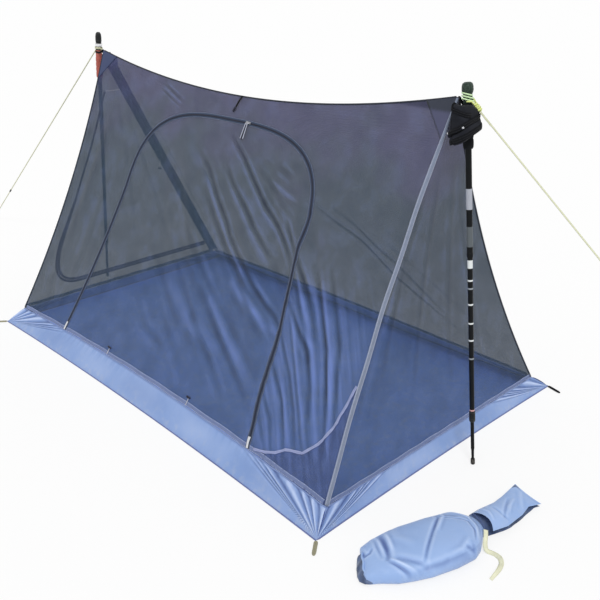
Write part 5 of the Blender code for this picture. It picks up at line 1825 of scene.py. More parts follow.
@dataclass
class Tub:
    """The bathtub floor: the floor sheet and the four low walls, gathered at the corners."""

    wall: ClothFinish
    floor: ClothFinish
    inset: float = 0.0024
    lift: float = 0.0012
    pleat: float = 0.72
    fan: float = 5.0

    def build(self) -> None:
        """Make the floor and the walls."""
        self.build_floor()
        for side in Side:
            lines = partial(TENT.side_hem, side), partial(TENT.side_rim, side)
            outward = (0.0, float(side.value), 0.8)
            self.build_wall(f"wall_{side.name.lower()}", *lines, outward, 620, (2.03, 0.11))
        for end in End:
            lines = partial(TENT.end_hem, end), partial(TENT.end_rim, end)
            outward = (float(end.value), 0.0, 0.8)
            self.build_wall(f"wall_{end.name.lower()}_end", *lines, outward, 400, (1.24, 0.07))

    def build_floor(self) -> None:
        """The floor sheet, lying on the ground with a few soft wrinkles, faintly painted with shade and
        highlight.
        """
        def place(u: Array, v: Array) -> Placed:
            """Points of the floor, from their shares along and across it."""
            spots = mixed(TENT.side_hem(Side.FRONT, u), TENT.side_hem(Side.BACK, u), v)
            left, right = TENT.end_hem(End.FAR, v), TENT.end_hem(End.NEAR, v)
            spots[:, 0] = left[:, 0] + (right[:, 0] - left[:, 0]) * u
            spots[:, :2] *= 1.0 - self.inset / 0.62
            depth, tone = fold_field(FLOOR_FOLDS, spots[:, 0], spots[:, 1])
            edge = np.minimum(np.minimum(u, 1 - u) * 12, np.minimum(v, 1 - v) * 8)
            spots[:, 2] = self.lift + np.clip(depth, 0.0, None) * np.clip(edge, 0.0, 1.0)
            return Placed(spots, spots[:, :2].copy(), tone)

        sheet = laid_grid("floor_cloth", 160, 100, place, self.floor)
        keep(sheet, "floor_sheet", cut=Cut((1.244, 2.03), "laid", ("studio_floor",)))

    def build_wall(self, name: str, hem: Line, rim: Line, outward: Spot, columns: int, flat: Flat) -> None:
        """One wall between hem and rim, with folds that fan out of both corners and painted shade and
        highlight on them.

        Args:
            name: The CAD node that it stands for.
            hem: The line at its foot.
            rim: The line at its top.
            outward: The direction that its folds push it.
            columns: How many faces it has along.
            flat: The cloth's flat width and length.
        """
        length = float(np.linalg.norm(hem(np.array(1.0)) - hem(np.array(0.0))))
        out = unit(np.array(outward))
        seed = outward[0] * 0.9 + outward[1] * 1.7

        def place(u: Array, v: Array) -> Placed:
            """Points of the wall, from their shares along and up it."""
            u = u - 0.82 * np.sin(math.tau * u) / math.tau
            low, high = hem(u), rim(u)
            near = np.minimum(u, 1 - u) * length
            height = v * np.linalg.norm(high - low, axis=1)
            reach = np.hypot(near, height)
            spread = near / np.maximum(height, 0.004)
            wave = np.cos(math.tau * (spread / self.pleat + 0.35 * np.sin(spread * 2.3 + seed) + seed))
            gather = ramp(self.fan - spread, 1.2) * ramp(reach, 0.03) * ramp(0.46 - reach, 0.2)
            depth = 0.0048 * gather * wave * ramp(height, 0.07) ** 0.6 * np.clip((1 - v) * 8, 0.25, 1)
            along = u * length
            pucker = np.sin(along * 150.0 + 2.4 * np.sin(along * 13.0)) + 0.6 * np.sin(along * 333.0 + seed)
            pucker = pucker * ramp(v - 0.55, 0.45) * (0.5 + 0.5 * np.sin(along * 5.3 + seed))
            depth = depth + 0.0007 * pucker * np.clip((1 - v) * 6, 0, 1)
            billow = 0.002 * np.sin(along * 9.0 + 0.8 + seed) * bow(v)
            spots = mixed(low, high, v * 0.97 + 0.015) + (depth + billow)[:, None] * out
            spots[:, 2] = np.maximum(spots[:, 2], 0.0006)
            # Painted shade in the pleats' valleys and painted highlight on their crests.
            dark = np.clip(-wave - 0.35, 0.0, 1.0) * 1.1
            light = np.clip(wave - 0.1, 0.0, 1.0) * 0.75
            # Painted shading on the puckers and the billow, and a darker strip along the wall's top edge.
            tone = gather * (dark - light) - 0.1 * pucker + 0.14 * np.sin(along * 9.0 + seed) * bow(v)
            return Placed(spots, rows(along, height), tone + 0.35 * ramp(v - 0.93, 0.07))

        sheet = laid_grid(name + "_cloth", columns, 44, place, self.wall)
        keep(sheet, name, cut=Cut(flat, "gathered", ("hem_binding", "rim_binding")))


@dataclass
class Zips:
    """The front zip round its arch, its slider and pull, and the far door's taped zip."""

    canopy: Canopy
    tape: TapeFinish
    coil: MouldedFinish
    metal: MouldedFinish
    stop: TapeFinish
    strip: TapeFinish
    far_tape: TapeFinish
    tape_width: float = 0.0092
    tape_off: float = 0.0056
    coil_r: float = 0.0015
    coil_off: float = 0.21
    far_off: float = 0.0062
    tape_lift: float = 0.0013
    coil_lift: float = 0.0022
    stop_lift: float = 0.0042
    far_lift: float = 0.0011
    slider_lift: float = 0.00535
    strip_off: float = 0.0072
    strip_width: float = 0.0038
    pull_length: float = 0.058
    steps: int = 420
    far_steps: int = 220
    pull_steps: int = 21

    def build(self) -> None:
        """Make both zips and the slider."""
        arch = TENT.door_arch()
        front = self.canopy.front
        for off, node, body in ((self.tape_off, "zip_front_frame", Body.TENT),
                                (-self.tape_off, "zip_front_door", Body.FRONT_DOOR)):
            spots, ups = on_surface(evened(moved_line(arch, off), self.steps), front, self.tape_lift)
            keep(ribbon(node + "_tape", spots, ups, self.tape_width, self.tape), node, body)
            middle = moved_line(arch, off * self.coil_off)
            spots, _ = on_surface(evened(middle, self.steps), front, self.coil_lift)
            keep(tube(node + "_coil", spots, self.coil_r, self.coil, around=8), body=body)
        for name, foot in (("far", 0.0), ("near", 0.988)):
            spots, ups = on_surface(along_line(arch, foot + 0.012 * shares(12)), front, self.stop_lift)
            keep(ribbon(f"zip_stop_{name}", spots, ups, 0.009, self.stop, thick=0.001))
        self.build_far()
        self.build_slider()

    def build_far(self) -> None:
        """The far door's two dark tapes, which start narrow."""
        line = TENT.far_door_line()
        for off, name, node, body in ((-self.far_off, "far_frame_tape", "zip_far", Body.TENT),
                                      (self.far_off, "far_door_tape", "", Body.FAR_DOOR)):
            share = np.clip((shares(len(line)) - 0.2) / 0.22, 0.38, 1.0)[:, None]
            moved = line + (moved_line(line, off) - line) * share
            spots, ups = on_surface(evened(moved, self.far_steps), self.canopy.far, self.far_lift)
            wide = 0.0045 + 0.0073 * ramp(shares(self.far_steps) - 0.2, 0.22)
            keep(ribbon(name, spots, ups, wide, self.far_tape), node, body)

    def build_slider(self) -> None:
        """The plated slider at the top of the arch: its base, lid and bridge."""
        spots, ups = on_surface(np.array(((0.09, TENT.door_height),)),
                                TENT.side_surface(Side.FRONT, CAD_FOLDS))
        up, along = Vector(ups[0]), Vector((1.0, 0.0, 0.0))
        seat = Vector(spots[0]) + up * self.slider_lift
        shape = bmesh.new()
        for size, height in (((25.0, 8.6, 2.6), -2.2), ((20.0, 8.0, 1.6), 1.0), ((12.0, 2.6, 1.6), 2.9)):
            block = bmesh.ops.create_cube(shape, size=MM)["verts"]
            bmesh.ops.scale(shape, vec=size, verts=block)
            bmesh.ops.translate(shape, vec=(0.0, 0.0, height * MM), verts=block)
        bmesh.ops.bevel(shape, geom=shape.edges, offset=0.0005, segments=2, profile=0.5, affect="EDGES",
                        material=-1)
        frame = frame_at(seat, along, up.cross(along).normalized(), up)
        bmesh.ops.transform(shape, matrix=frame, verts=shape.verts)
        mesh = used_up(shape, bpy.data.meshes.new("slider_body"))
        body = new_piece("slider_body", mesh, self.metal.material(), smooth=False)
        keep(body, "zip_slider", Body.SLIDER)
        self.build_pull(seat, up)

    def build_pull(self, seat: Vector, up: Vector) -> None:
        """The pull: a ring, and two pale strips over a dark core that hang down the net."""
        middle = np.array(0.5)
        hang = Vector(TENT.side_rim(Side.FRONT, middle) - TENT.ridge(middle)).normalized()
        side = hang.cross(up).normalized()
        top = seat + up * 0.005
        strips = []
        for off in (-self.strip_off, self.strip_off):
            line = [top + hang * (0.004 + self.pull_length * t) + side * off * (0.7 + 0.3 * t)
                    for t in shares(self.pull_steps)]
            strips.append(ribbon("strip", np.array(line), up, self.strip_width, self.strip, thick=0.0))
        keep(thicken(merged("pull_strips", strips), 0.001), "zip_pull", Body.PULL)
        line = [top + hang * (0.003 + 0.0048 * math.cos(angle)) + side * 0.0056 * math.sin(angle)
                for angle in math.tau * shares(28, whole=False)]
        ring = tube("pull_ring", np.array(line), 0.0008, self.metal, closed=True)
        keep(ring, body=Body.PULL)
        line = [top - up * 0.0014 + hang * (0.006 + self.pull_length * t) for t in shares(self.pull_steps)]
        keep(ribbon("pull_core", np.array(line), up, 0.013, self.coil), body=Body.PULL)


@dataclass
class Trim:
    """The gusset's pale tape, and the toggles at the ridge, the rim and the far net."""

    canopy: Canopy
    pale: TapeFinish
    plastic: MouldedFinish
    cord: CordFinish
    webbing: TapeFinish
    toggle_r: float = 0.0042
    toggle_length: float = 0.02
    tie_length: float = 0.046
    tie_width: float = 0.0075
    loop_r: float = 0.0012
    lift: float = 0.003
    tape_steps: int = 70

    def build(self) -> None:
        """Make the tape and the toggles."""
        front, t = self.canopy.front, shares(self.tape_steps)
        spots, ups = on_surface(evened(self.canopy.gusset, self.tape_steps), front, self.lift)
        spots += ups * (0.0012 * (1 + np.sin(t * 41.0)) * ramp(t, 0.125))[:, None]
        width = 0.0084 + 0.001 * np.sin(t * 67.0)
        tape = ribbon("gusset_binding", spots, ups, width, self.pale, thick=0.0009, crown=0.001)
        keep(tape, "gusset_tape")
        self.build_ridge_tie()
        for number, x in ((1, -0.268), (2, 0.268)):
            self.build_toggle(f"rim_toggle_{number}", ((x, 0.004), (x + 0.004, 0.04)), front, Body.FRONT_DOOR)
        self.build_toggle("far_toggle", ((0.24, 0.56), (0.23, 0.52)), self.canopy.far, Body.TENT)

    def build_ridge_tie(self) -> None:
        """The toggle on its cord that hangs from the ridge over the front door."""
        rise = TENT.side_rise
        spots, ups = on_surface(np.array(((0.014, rise), (-0.012, rise - 0.07))),
                                TENT.side_surface(Side.FRONT, CAD_FOLDS))
        out = Vector(ups[1])
        seat = Vector(spots[0]) + out * 0.0046
        down = (Vector(spots[1]) + out * 0.0078 - seat).normalized()
        side = Vector((0.0, 1.0, 0.0)).cross(down).normalized()
        frame = frame_at(seat, side, down.cross(side), down)
        r, foot = self.toggle_r * 1.15, self.toggle_length
        profile = ((0.0, 0.0), (r * 0.75, 0.0), (r, 0.003), (r * 0.86, 0.01), (r, 0.017), (r * 0.75, foot),
                   (0.0, foot))
        bead = turned("ridge_toggle", [(reach, self.tie_length + height) for reach, height in profile], frame,
                      self.plastic)
        keep(bead, "ridge_tie")
        line = [frame @ Vector((0.0012 * math.sin(t * math.pi), 0.0, self.tie_length * 1.1 * t))
                for t in shares(11)]
        tie = ribbon("ridge_tie_webbing", np.array(line), out, self.tie_width, self.webbing, thick=0.0012)
        keep(tie)

    def build_toggle(self, name: str, line: Sequence[Flat], surface: Surface, body: Body) -> None:
        """A small barrel toggle on a loop of pale cord, along a line on a panel's pattern."""
        spots, ups = on_surface(evened(line, 12), surface, self.lift)
        keep(tube(name + "_loop", spots[:9], self.loop_r, self.cord), body=body)
        run = spots[-1] - spots[0]
        down, across = Vector(unit(run)), Vector(unit(np.cross(ups[9], run)))
        frame = frame_at(Vector(spots[9] + ups[9] * 0.002), down, across.cross(down), across)
        r, half = self.toggle_r, self.toggle_length / 2
        profile = ((0.0, -half), (r * 0.7, -half), (r, 0.003 - half), (r * 0.72, 0.0), (r, half - 0.003),
                   (r * 0.7, half), (0.0, half))
        keep(turned(name, profile, frame, self.plastic), body=body)


WHITE_PRINT, GREY_PRINT = tint(222, 226, 226), tint(146, 152, 158)
NEAR_MARKS = (
    *(Mark(middle, 0.0026, WHITE_PRINT) for middle in (0.6226, 0.5474, 0.4872, 0.4317)),
    Mark(0.978, 0.0018, GREY_PRINT), Mark(0.5994, 0.003, GREY_PRINT), Mark(0.3703, 0.0026, GREY_PRINT),
    Mark(0.869, 0.03, tint(166, 170, 180)), Mark(0.76, 0.03, tint(92, 98, 102)),
    Mark(0.6735, 0.013, WHITE_PRINT), Mark(0.1945, 0.003, tint(206, 160, 160)),
)
FAR_MARKS = (
    *(Mark(middle, 0.0026, GREY_PRINT) for middle in (0.65, 0.59, 0.53, 0.47, 0.41)),
    Mark(0.79, 0.026, tint(118, 122, 128)),
)


@dataclass
class Poles:
    """The two trekking poles' finishes; their solids come from the CAD part."""

    nodes: dict[str, Piece]
    sharp_angle: float = 32.0

    def dress(self, node: str, finish: Finish) -> None:
        """Give a CAD node its finish, shaded smooth but for its sharp edges."""
        mesh = self.nodes[node].data
        mesh.materials.clear()
        mesh.materials.append(finish.material())
        mesh.set_sharp_from_angle(angle=math.radians(self.sharp_angle))
        LOG.info("%s is dressed in %s", node, finish.name)

    def build(self) -> None:
        """Dress every pole piece."""
        black = MouldedFinish("pole plastic", tint(20, 22, 24), tint(72, 74, 74), 0.42, 900.0, 0.25,
                              shine=0.2)
        rubber = MouldedFinish("foot rubber", tint(28, 28, 29), tint(120, 116, 108), 0.72, 600.0, 0.5,
                               shine=0.2)
        for pole, base, marks in ((NEAR_POLE, tint(14, 16, 18), NEAR_MARKS),
                                  (FAR_POLE, tint(22, 24, 28), FAR_MARKS)):
            foot = tuple(pole.frame.translation)
            shaft = TubeFinish(f"{pole.name} pole tube", foot, tuple(pole.up), base, marks)
            for part, finish in (("lower_tube", shaft), ("middle_tube", shaft), ("upper_tube", shaft),
                                 ("foot", rubber), ("lock", black)):
                self.dress(f"pole_{pole.name}_{part}", finish)
        self.dress("pole_near_grip", MouldedFinish(
            "grip foam", tint(22, 24, 27), tint(54, 56, 58), 0.86, 1500.0, 0.8, wear=0.25, shine=0.12))
        self.dress("pole_near_grip_head", MouldedFinish(
            "near head plastic", tint(26, 44, 36), tint(84, 96, 88), 0.4, 700.0, 0.25, shine=0.22))
        self.dress("pole_far_grip", MouldedFinish(
            "grip cork", tint(176, 92, 80), tint(206, 140, 126), 0.66, 900.0, 0.7, wear=0.5, shine=0.3))
        self.dress("pole_far_grip_ring", MouldedFinish(
            "bright ring", tint(226, 226, 228), tint(255, 255, 255), 0.28, 400.0, 0.1, metallic=0.6))
        for node in ("pole_far_grip_head", "tensioner_near", "tensioner_far"):
            self.dress(node, black)


@dataclass
class WristStrap:
    """The near pole's padded strap, bundled flat against its grip."""

    webbing: TapeFinish
    padding: ClothFinish
    metal: MouldedFinish
    middle_x: float = 0.004
    middle_y: float = -0.02
    below: float = 0.072
    low: float = -0.0265
    tall: float = 0.097
    half_x: float = 0.0305
    half_y: float = 0.0475
    band_lift: float = 0.0014
    stud_lift: float = 0.003
    roundness: float = 0.66
    sections: tuple[Flat, ...] = (
        (-26.7, 0.02), (-26.0, 0.4), (-22.0, 0.72), (-16.0, 0.9), (-6.0, 1.02), (6.0, 1.05), (20.0, 1.0),
        (38.0, 0.92), (50.0, 0.82), (60.0, 0.72), (69.0, 0.58), (70.5, 0.02))

    def __post_init__(self) -> None:
        """Lay out the bundle's own frame against the grip."""
        pole = NEAR_POLE
        centre = pole.at(pole.neck_foot - self.below, self.middle_x, self.middle_y)
        self.frame = Matrix.Translation(centre) @ pole.frame.to_3x3().to_4x4()
        self.turn = np.array(self.frame.to_3x3())

    def placed(self, spots: Array) -> Array:
        """Points of the bundle's frame, in the tent's frame."""
        return spots @ self.turn.T + np.array(self.frame.translation)

    @staticmethod
    def crease(rise: Array, angle: Array, width: float) -> Array:
        """How near a point is to the crease that winds round the bundle, from 0 to 1."""
        return np.exp(-((rise - 0.4 - 0.0995 * (angle + 0.9)) / width) ** 2)

    def shell(self, rise: Array, angle: Array, grow: float = 0.0) -> Array:
        """Points of the bundle's face in its own frame.

        Args:
            rise: The shares of its height.
            angle: The angles round it.
            grow: How far to stand off it.

        Returns:
            The points.
        """
        cos, sin = np.cos(angle), np.sin(angle)
        z = self.low + self.tall * rise
        heights, swells = np.array(self.sections).T
        lean = np.clip(0.68 * cos + 0.73 * sin, 0.0, 1.0)
        swell = np.interp(z, heights * MM, swells) * (1.0 + 0.3 * lean * np.exp(-((z - 0.055) / 0.014) ** 2))
        dent = 1.0 - 0.1 * self.crease(rise, angle, 0.018)
        dent = dent - 0.07 * np.exp(-((angle + 1.75 + 0.4 * rise) / 0.1) ** 2)
        dent = dent + 0.05 * np.sin(angle * 2.0 + 1.0) * np.sin(rise * 5.0)
        x = (self.half_x * swell * dent + grow) * np.sign(cos) * np.abs(cos) ** self.roundness
        y = (self.half_y * swell * dent + grow) * np.sign(sin) * np.abs(sin) ** self.roundness
        out = 0.68 * x + 0.73 * y
        z = z + 0.5 * out * (1 - rise) ** 2 + 0.3 * np.clip(-out, 0, 1) * rise ** 6
        return rows(x, y - 0.01 * ramp(z - 0.03, 0.04), z)

    def build(self) -> None:
        """Make the bundle as a padded loop folded flat, its bands and two bright rivets."""
        def place(u: Array, v: Array) -> Placed:
            """Points of the bundle, from their shares up and round it."""
            angle = math.tau * v - math.pi
            # Painted shade in the crease that winds round the bundle, and painted highlight in narrow streaks
            # round it.
            tone = 0.8 * self.crease(u, angle, 0.025) - 0.25 * np.abs(np.sin(angle * 1.5 + u * 4)) ** 6
            return Placed(self.placed(self.shell(u, angle)), rows(u * 0.12, v * 0.2), tone)

        bundle = laid_grid("strap_bundle", 96, 96, place, self.padding, joined=True)
        keep(bundle, "wrist_strap")
        runs = ((-2.95, 0.95, 70, 0.58, 0.0995, 0.209, 0.013), (-2.8, 2.8, 90, 0.2, 0.02, 0.0, 0.016),
                (-2.95, -0.1, 50, 0.8, -0.1, -1.0, 0.012))
        for number, (start, end, count, rise, slope, about, width) in enumerate(runs):
            angles = np.linspace(start, end, count)
            line = self.shell(rise + slope * (angles - about), angles, self.band_lift)
            ups = unit(line * (1.0, 0.6, 0.0)) @ self.turn.T
            band = ribbon(f"strap_band_{number}", self.placed(line), ups, width, self.webbing, thick=0.0016,
                          crown=0.001)
            keep(band)
        profile = [(reach * MM, height * MM) for reach, height in
                   ((0.0, -1.0), (3.4, -1.0), (3.4, 0.8), (1.8, 2.0), (0.0, 2.1))]
        for number, (rise, angle) in enumerate(((0.445, -0.908), (0.36, -2.26))):
            spot = Vector(self.shell(np.array(rise), np.array(angle), self.stud_lift))
            out = Vector((spot.x, spot.y * 0.6, 0.0)).to_track_quat("Z", "Y").to_matrix().to_4x4()
            place = self.frame @ Matrix.Translation(spot) @ out
            stud = turned(f"strap_stud_{number}", profile, place, self.metal, steps=16)
            keep(stud)


def softened(line: Array, times: int) -> Array:
    """A line with its bends eased, between ends that stay."""
    line = line.copy()
    for _ in range(times):
        line[1:-1] = (line[:-2] + 2 * line[1:-1] + line[2:]) / 4
    return line


@dataclass
class StuffSack:
    """The stuff sack, lying slack on the ground, with its twisted hood and its strap."""

    cloth: ClothFinish
    # inside is the sack nylon darkened as painted shade, for its hidden inner faces.
    inside: ClothFinish
    tape: TapeFinish
    binding: TapeFinish
    middle: Flat = (1.245, -0.425)
    turn: float = 72.0
    gap: float = 0.0003
    strap_width: float = 0.014
    seam_r: float = 0.0013
    edge_r: float = 0.003
    strap_steps: int = 90
    edge_steps: int = 50

    def laid(self, spots: Array) -> Array:
        """Points of the sack's plan, with x from its closed end to its hood, where it lies on the ground."""
        turn = math.radians(self.turn)
        x, y, z = spots.T
        return rows(self.middle[0] + x * math.cos(turn) - y * math.sin(turn),
                    self.middle[1] + x * math.sin(turn) + y * math.cos(turn), np.maximum(z, self.gap))

    def build(self) -> None:
        """Make the body, the fold at its base in painted shade, the hood and the strap."""
        self.build_body()
        self.build_base()
        self.build_hood()
        self.build_strap()

    def build_body(self) -> None:
        """The slack body: broad flat faces with a few sharp creases, cut straight at its mouth."""
        stations, near, far, tops = SACK_SECTIONS.T

        def place(u: Array, v: Array) -> Placed:
            """Points of the body, from their shares along and round it."""
            closing = ramp(np.minimum(u, 1 - u), 0.04)
            x = stations[0] + (stations[-1] - stations[0]) * ramp(u - 0.04, 0.92)
            cos, sin = np.cos(math.tau * v), np.sin(math.tau * v)
            low, high, top = (np.interp(x, stations, table) for table in (near, far, tops))
            middle = low * 0.55 + high * 0.45
            reach = np.where(cos > 0, high - middle, middle - low) * closing ** 0.7
            over = np.clip(sin * 1.6 + 0.3, 0.0, 1.0) * closing
            y = middle + reach * np.sign(cos) * np.abs(cos) ** 0.86
            depth, tone = fold_field(SACK_FOLDS, x, y)
            soft = 0.0012 * np.sin(x * 41.0 + y * 17.0) * np.sin(y * 36.0 - x * 9.0 + 0.7)
            z = top * 0.44 + top * 0.56 * closing ** 0.7 * np.sign(sin) * np.abs(sin) ** 0.92
            spots = rows(x, y + 0.35 * depth * cos * over, z + (depth + soft) * over)
            # The tone paints shade and highlight on the folds, shade on the underside, and shade in a strip
            # low along the near long edge.
            rim = 0.3 * ramp(-cos - 0.7, 0.25) * ramp(x + 0.06, 0.1)
            tone = tone * over + 0.55 * np.clip(-sin - 0.1, 0, 1) + rim * (sin < 0.5)
            return Placed(self.laid(spots), rows(x, v * 0.5), tone)

        body = laid_grid("sack_cloth", 220, 170, place, self.cloth, joined=True)
        keep(body, "sack_body", Body.SACK)
        line = self.laid(softened(evened(SACK_MOUTH, 40), 4))
        seam = tube("sack_mouth_seam", line, self.seam_r, self.binding, around=8)
        keep(seam, body=Body.SACK)

    def build_base(self) -> None:
        """The fold at the closed end: a pocket of cloth in painted shade under a rolled edge."""
        def place(u: Array, v: Array) -> Placed:
            """Points of the pocket, from its outer edge to its inner one."""
            spots = mixed(along_line(BASE_OUTER, u), along_line(BASE_INNER, u), v)
            spots[:, 0] -= 0.005 * bow(v) + 0.002 * np.sin(u * 23.0) * bow(v)
            return Placed(self.laid(spots), rows(u * 0.13, v * 0.03), 0.5 * np.sin(u * 17.0 + v * 3.0))

        pocket = thicken(laid_grid("sack_base_fold", 60, 14, place, self.inside), 0.0008)
        keep(pocket, body=Body.SACK, cut=Cut((0.12, 0.032), "gathered", ("sack_cloth",)))
        line = evened(BASE_INNER, self.edge_steps)
        line[:, 0] -= 0.0012 * (1 + np.sin(14.0 * shares(self.edge_steps)))
        keep(tube("sack_base_edge", self.laid(line), self.edge_r, self.cloth), body=Body.SACK)

    def build_hood(self) -> None:
        """The limp hood: a flattened sleeve, arched over its inside in painted shade, and twisted at its
        throat.
        """
        def top(u: Array, v: Array) -> Placed:
            """Points of the hood's outer cloth."""
            spots = mixed(along_line(HOOD_LOWER, u), along_line(HOOD_UPPER, u), v)
            spots[:, 0] += 0.014 * bow(v) * (1 - v) * (1 - u) ** 4 - 0.004 * bow(v) * u
            depth, tone = fold_field(HOOD_FOLDS, spots[:, 0], spots[:, 1])
            spots[:, 2] += bow(v) ** 0.8 * (0.014 * (1 - u) ** 1.2 + 0.008 * (1 - u ** 3)) + depth
            # The tone paints shade and highlight on the folds and highlight along the arch's crest, and
            # darkens a line across near the tip.
            edge = ramp(u - 0.955, 0.01) * ramp(0.975 - u, 0.006)
            return Placed(self.laid(spots), spots[:, :2].copy(), tone - 0.1 * bow(v) + 0.3 * edge)

        def under(u: Array, v: Array) -> Placed:
            """Points of the hood's inside, in painted shade."""
            high = along_line(HOOD_UPPER, u) - (0.0, 0.0, 0.0008)
            spots = mixed(along_line(HOOD_BENEATH, u), high, v ** 1.3)
            spots[:, 0] -= 0.01 * (1 - u) ** 2 + 0.007 * u ** 4 * (0.3 + bow(v))
            ripple = 0.002 * np.sin(u * 11.0 + v * 4.0) ** 2
            spots[:, 2] = np.minimum(spots[:, 2], 0.004 + 0.042 * v ** 1.6) + ripple
            spots[:, 2] = np.where(v > 0.985, high[:, 2], spots[:, 2])
            return Placed(self.laid(spots), spots[:, :2].copy(), 0.4 * np.sin(u * 14.0 + v * 5.0))

        cut = Cut((0.225, 0.108), "gathered", ("sack_cloth", "studio_floor"))
        hood = laid_grid("sack_hood_cloth", 110, 60, top, self.cloth)
        keep(hood, "sack_hood", Body.SACK, cut)
        keep(laid_grid("sack_hood_inside", 70, 40, under, self.inside), body=Body.SACK, cut=cut)

    def build_strap(self) -> None:
        """The pale strap that falls from the mouth's corner and lies curled on the ground."""
        line = self.laid(softened(evened(SACK_STRAP, self.strap_steps), 14))
        line[:, 2] = np.maximum(line[:, 2], 0.0016)
        t = shares(self.strap_steps)
        ups = unit(rows(0.5 * np.sin(t * 9.0), 0.5 * np.cos(t * 7.0), 1.0))
        width = self.strap_width - 0.005 * ramp(t - 0.72, 0.28)
        strap = ribbon("sack_strap_webbing", line, ups, width, self.tape, thick=0.0014)
        cut = Cut((0.0135, float(distances(line)[-1])), "laid", ("sack_cloth", "studio_floor"))
        keep(strap, "sack_strap", Body.SACK, cut)


def declare_sheets() -> None:
    """Log every sheet of cloth with its cut, once all the pieces exist."""
    for name, cut in CUTS.items():
        LOG.info("%s is a sheet, %s, of %.2f by %.2f m", name, cut.held, *cut.flat)


def build_cords() -> None:
    """The guylines, the cords round the poles' necks and the near hitch."""
    pale = CordFinish("pale cord", tint(218, 218, 186), tint(170, 176, 144), hollow=0.6)
    lime = CordFinish("lime guyline", tint(222, 224, 190), tint(242, 244, 218), hollow=0.66)
    knot = CordFinish("lime knot cord", tint(226, 236, 142), tint(248, 252, 214), hollow=0.55)
    neon = CordFinish("neon cord", tint(222, 254, 200), tint(248, 255, 238), hollow=0.66)
    start, peg, tensioner = (1.0125, 0.0135, 1.116), (1.915, 0.5, 0.0017), (1.6647, 0.3663, 0.3135)
    Guyline(End.FAR, (-1.0399, 0.0, 1.1543), (-2.62, 0.0, 0.0017), pale, radius=0.0026).build()
    PoleCords(NEAR_POLE, 3, neon, Slot.GREEN_CORD, slant=0.0062, loose=0.03, spacing=0.0034).build()
    PoleCords(FAR_POLE, 2, pale, Slot.PALE_CORD).build()
    hitch = HitchKnot(start, tuple(Vector(peg) - Vector(start)), knot, NEAR_POLE).build()
    Guyline(End.NEAR, start, peg, lime, tail=0.05, through=tensioner).build(hitch)


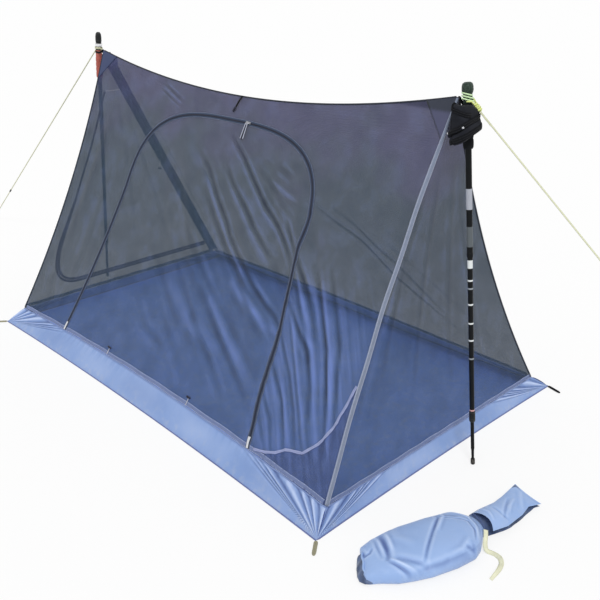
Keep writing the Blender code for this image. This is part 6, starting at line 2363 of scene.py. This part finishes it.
def build_canopy(black: TapeFinish, metal: MouldedFinish) -> None:
    """The net tent itself: its panels, seams, belts, floor, zips and trim."""
    canopy = Canopy(NetFinish("mosquito net", tint(46, 63, 80), tint(60, 62, 98), 0.785),
                    NetFinish("doubled net", tint(60, 70, 112), tint(60, 62, 96), 0.5))
    canopy.build()
    cap = partial(ClothFinish, roughness=0.7, relief=0.15, dusty=0.0, shine=0.15)
    Seams(
        dark=TapeFinish("dark binding", tint(46, 50, 60), tint(92, 96, 116), 0.01, shine=0.2),
        pale=TapeFinish("pale tape", tint(122, 132, 154), tint(172, 181, 202), 0.0062,
                        edge=tint(154, 163, 186)),
        band=TapeFinish("wide dark band", tint(27, 22, 60), tint(70, 66, 118), 0.023, stitch_in=0.003),
        rim=TapeFinish("rim binding", tint(128, 148, 196), tint(110, 124, 176), 0.01),
        hem=TapeFinish("hem binding", tint(104, 116, 168), tint(140, 150, 190), 0.01),
        near_cap=cap("near cap cloth", tint(80, 82, 108), tint(46, 52, 56), tint(104, 108, 132)),
        far_cap=cap("far cap cloth", tint(62, 72, 104), tint(42, 50, 76), tint(92, 100, 134)),
        rim_tape=TapeFinish("rim tape", tint(112, 126, 166), tint(206, 216, 240), 0.0075, stitch_in=0.0016,
                            stitch_pitch=0.008, shine=0.2),
        canopy=canopy).build()
    Belts(black, TapeFinish("olive webbing", tint(150, 146, 120), tint(172, 168, 140), 0.0042,
                            stitch_in=0.0012)).build()
    Tub(ClothFinish("wall nylon", tint(127, 155, 206), tint(66, 88, 142), tint(198, 214, 246)),
        ClothFinish("floor nylon", tint(116, 156, 252), tint(88, 124, 216), tint(170, 198, 254), relief=0.2)
        ).build()
    Zips(
        canopy,
        tape=TapeFinish("zip tape", tint(64, 76, 98), tint(150, 156, 182), 0.0045, stitch_in=0.001,
                        stitch_pitch=0.006, shine=0.15),
        coil=MouldedFinish("zip coil", tint(38, 40, 54), tint(90, 90, 108), 0.5, 1200.0, 0.6, wear=0.2,
                           shine=0.15),
        metal=metal,
        stop=TapeFinish("white tape", tint(226, 228, 232), tint(180, 182, 190), 0.0024, stitch_in=0.0012),
        strip=TapeFinish("pull strip", tint(160, 166, 186), tint(206, 210, 226), 0.0019, stitch_in=0.0008),
        far_tape=TapeFinish("far zip tape", tint(44, 24, 56), tint(104, 88, 130), 0.006, stitch_in=0.0016)
    ).build()
    Trim(
        canopy,
        pale=TapeFinish("gusset tape", tint(140, 150, 194), tint(190, 196, 226), 0.0044, stitch_in=0.0014),
        plastic=MouldedFinish("toggle plastic", tint(20, 22, 42), tint(84, 86, 104), 0.44, 700.0, 0.25,
                              shine=0.25),
        cord=CordFinish("white toggle cord", tint(222, 222, 226), tint(180, 180, 190)),
        webbing=black).build()


def main() -> None:
    """Build the tent's looks, piece by piece."""
    logging.basicConfig(level=logging.INFO, format="%(message)s", stream=sys.stdout)
    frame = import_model()
    Studio().build()
    black = TapeFinish("black webbing", tint(17, 18, 22), tint(46, 48, 52), 0.0042, stitch_in=0.0012,
                       shine=0.1)
    metal = MouldedFinish("plated slider", tint(176, 178, 184), tint(232, 232, 236), 0.3, 600.0, 0.2,
                          metallic=0.8)
    build_cords()
    build_canopy(black, metal)
    Poles(frame["nodes"]).build()
    padding = ClothFinish("strap padding", tint(24, 26, 32), tint(10, 11, 15), tint(50, 52, 60), 0.74, 0.0022,
                          dusty=0.0, shine=0.1)
    WristStrap(black, padding, metal).build()
    StuffSack(
        cloth=ClothFinish("sack nylon", tint(146, 176, 224), tint(82, 107, 166), tint(194, 214, 248), 0.4),
        # The inside cloth is the sack nylon darkened: painted shade for the pocket at the base and the hood's
        # throat.
        inside=ClothFinish("sack inside", tint(66, 84, 118), tint(40, 54, 82), tint(98, 116, 154)),
        tape=TapeFinish("sack strap", tint(236, 236, 206), tint(206, 204, 168), 0.0067),
        binding=TapeFinish("sack edge", tint(84, 100, 142), tint(120, 136, 176), 0.01, shine=0.2)).build()
    declare_sheets()


if __name__ == "__main__":
    main()
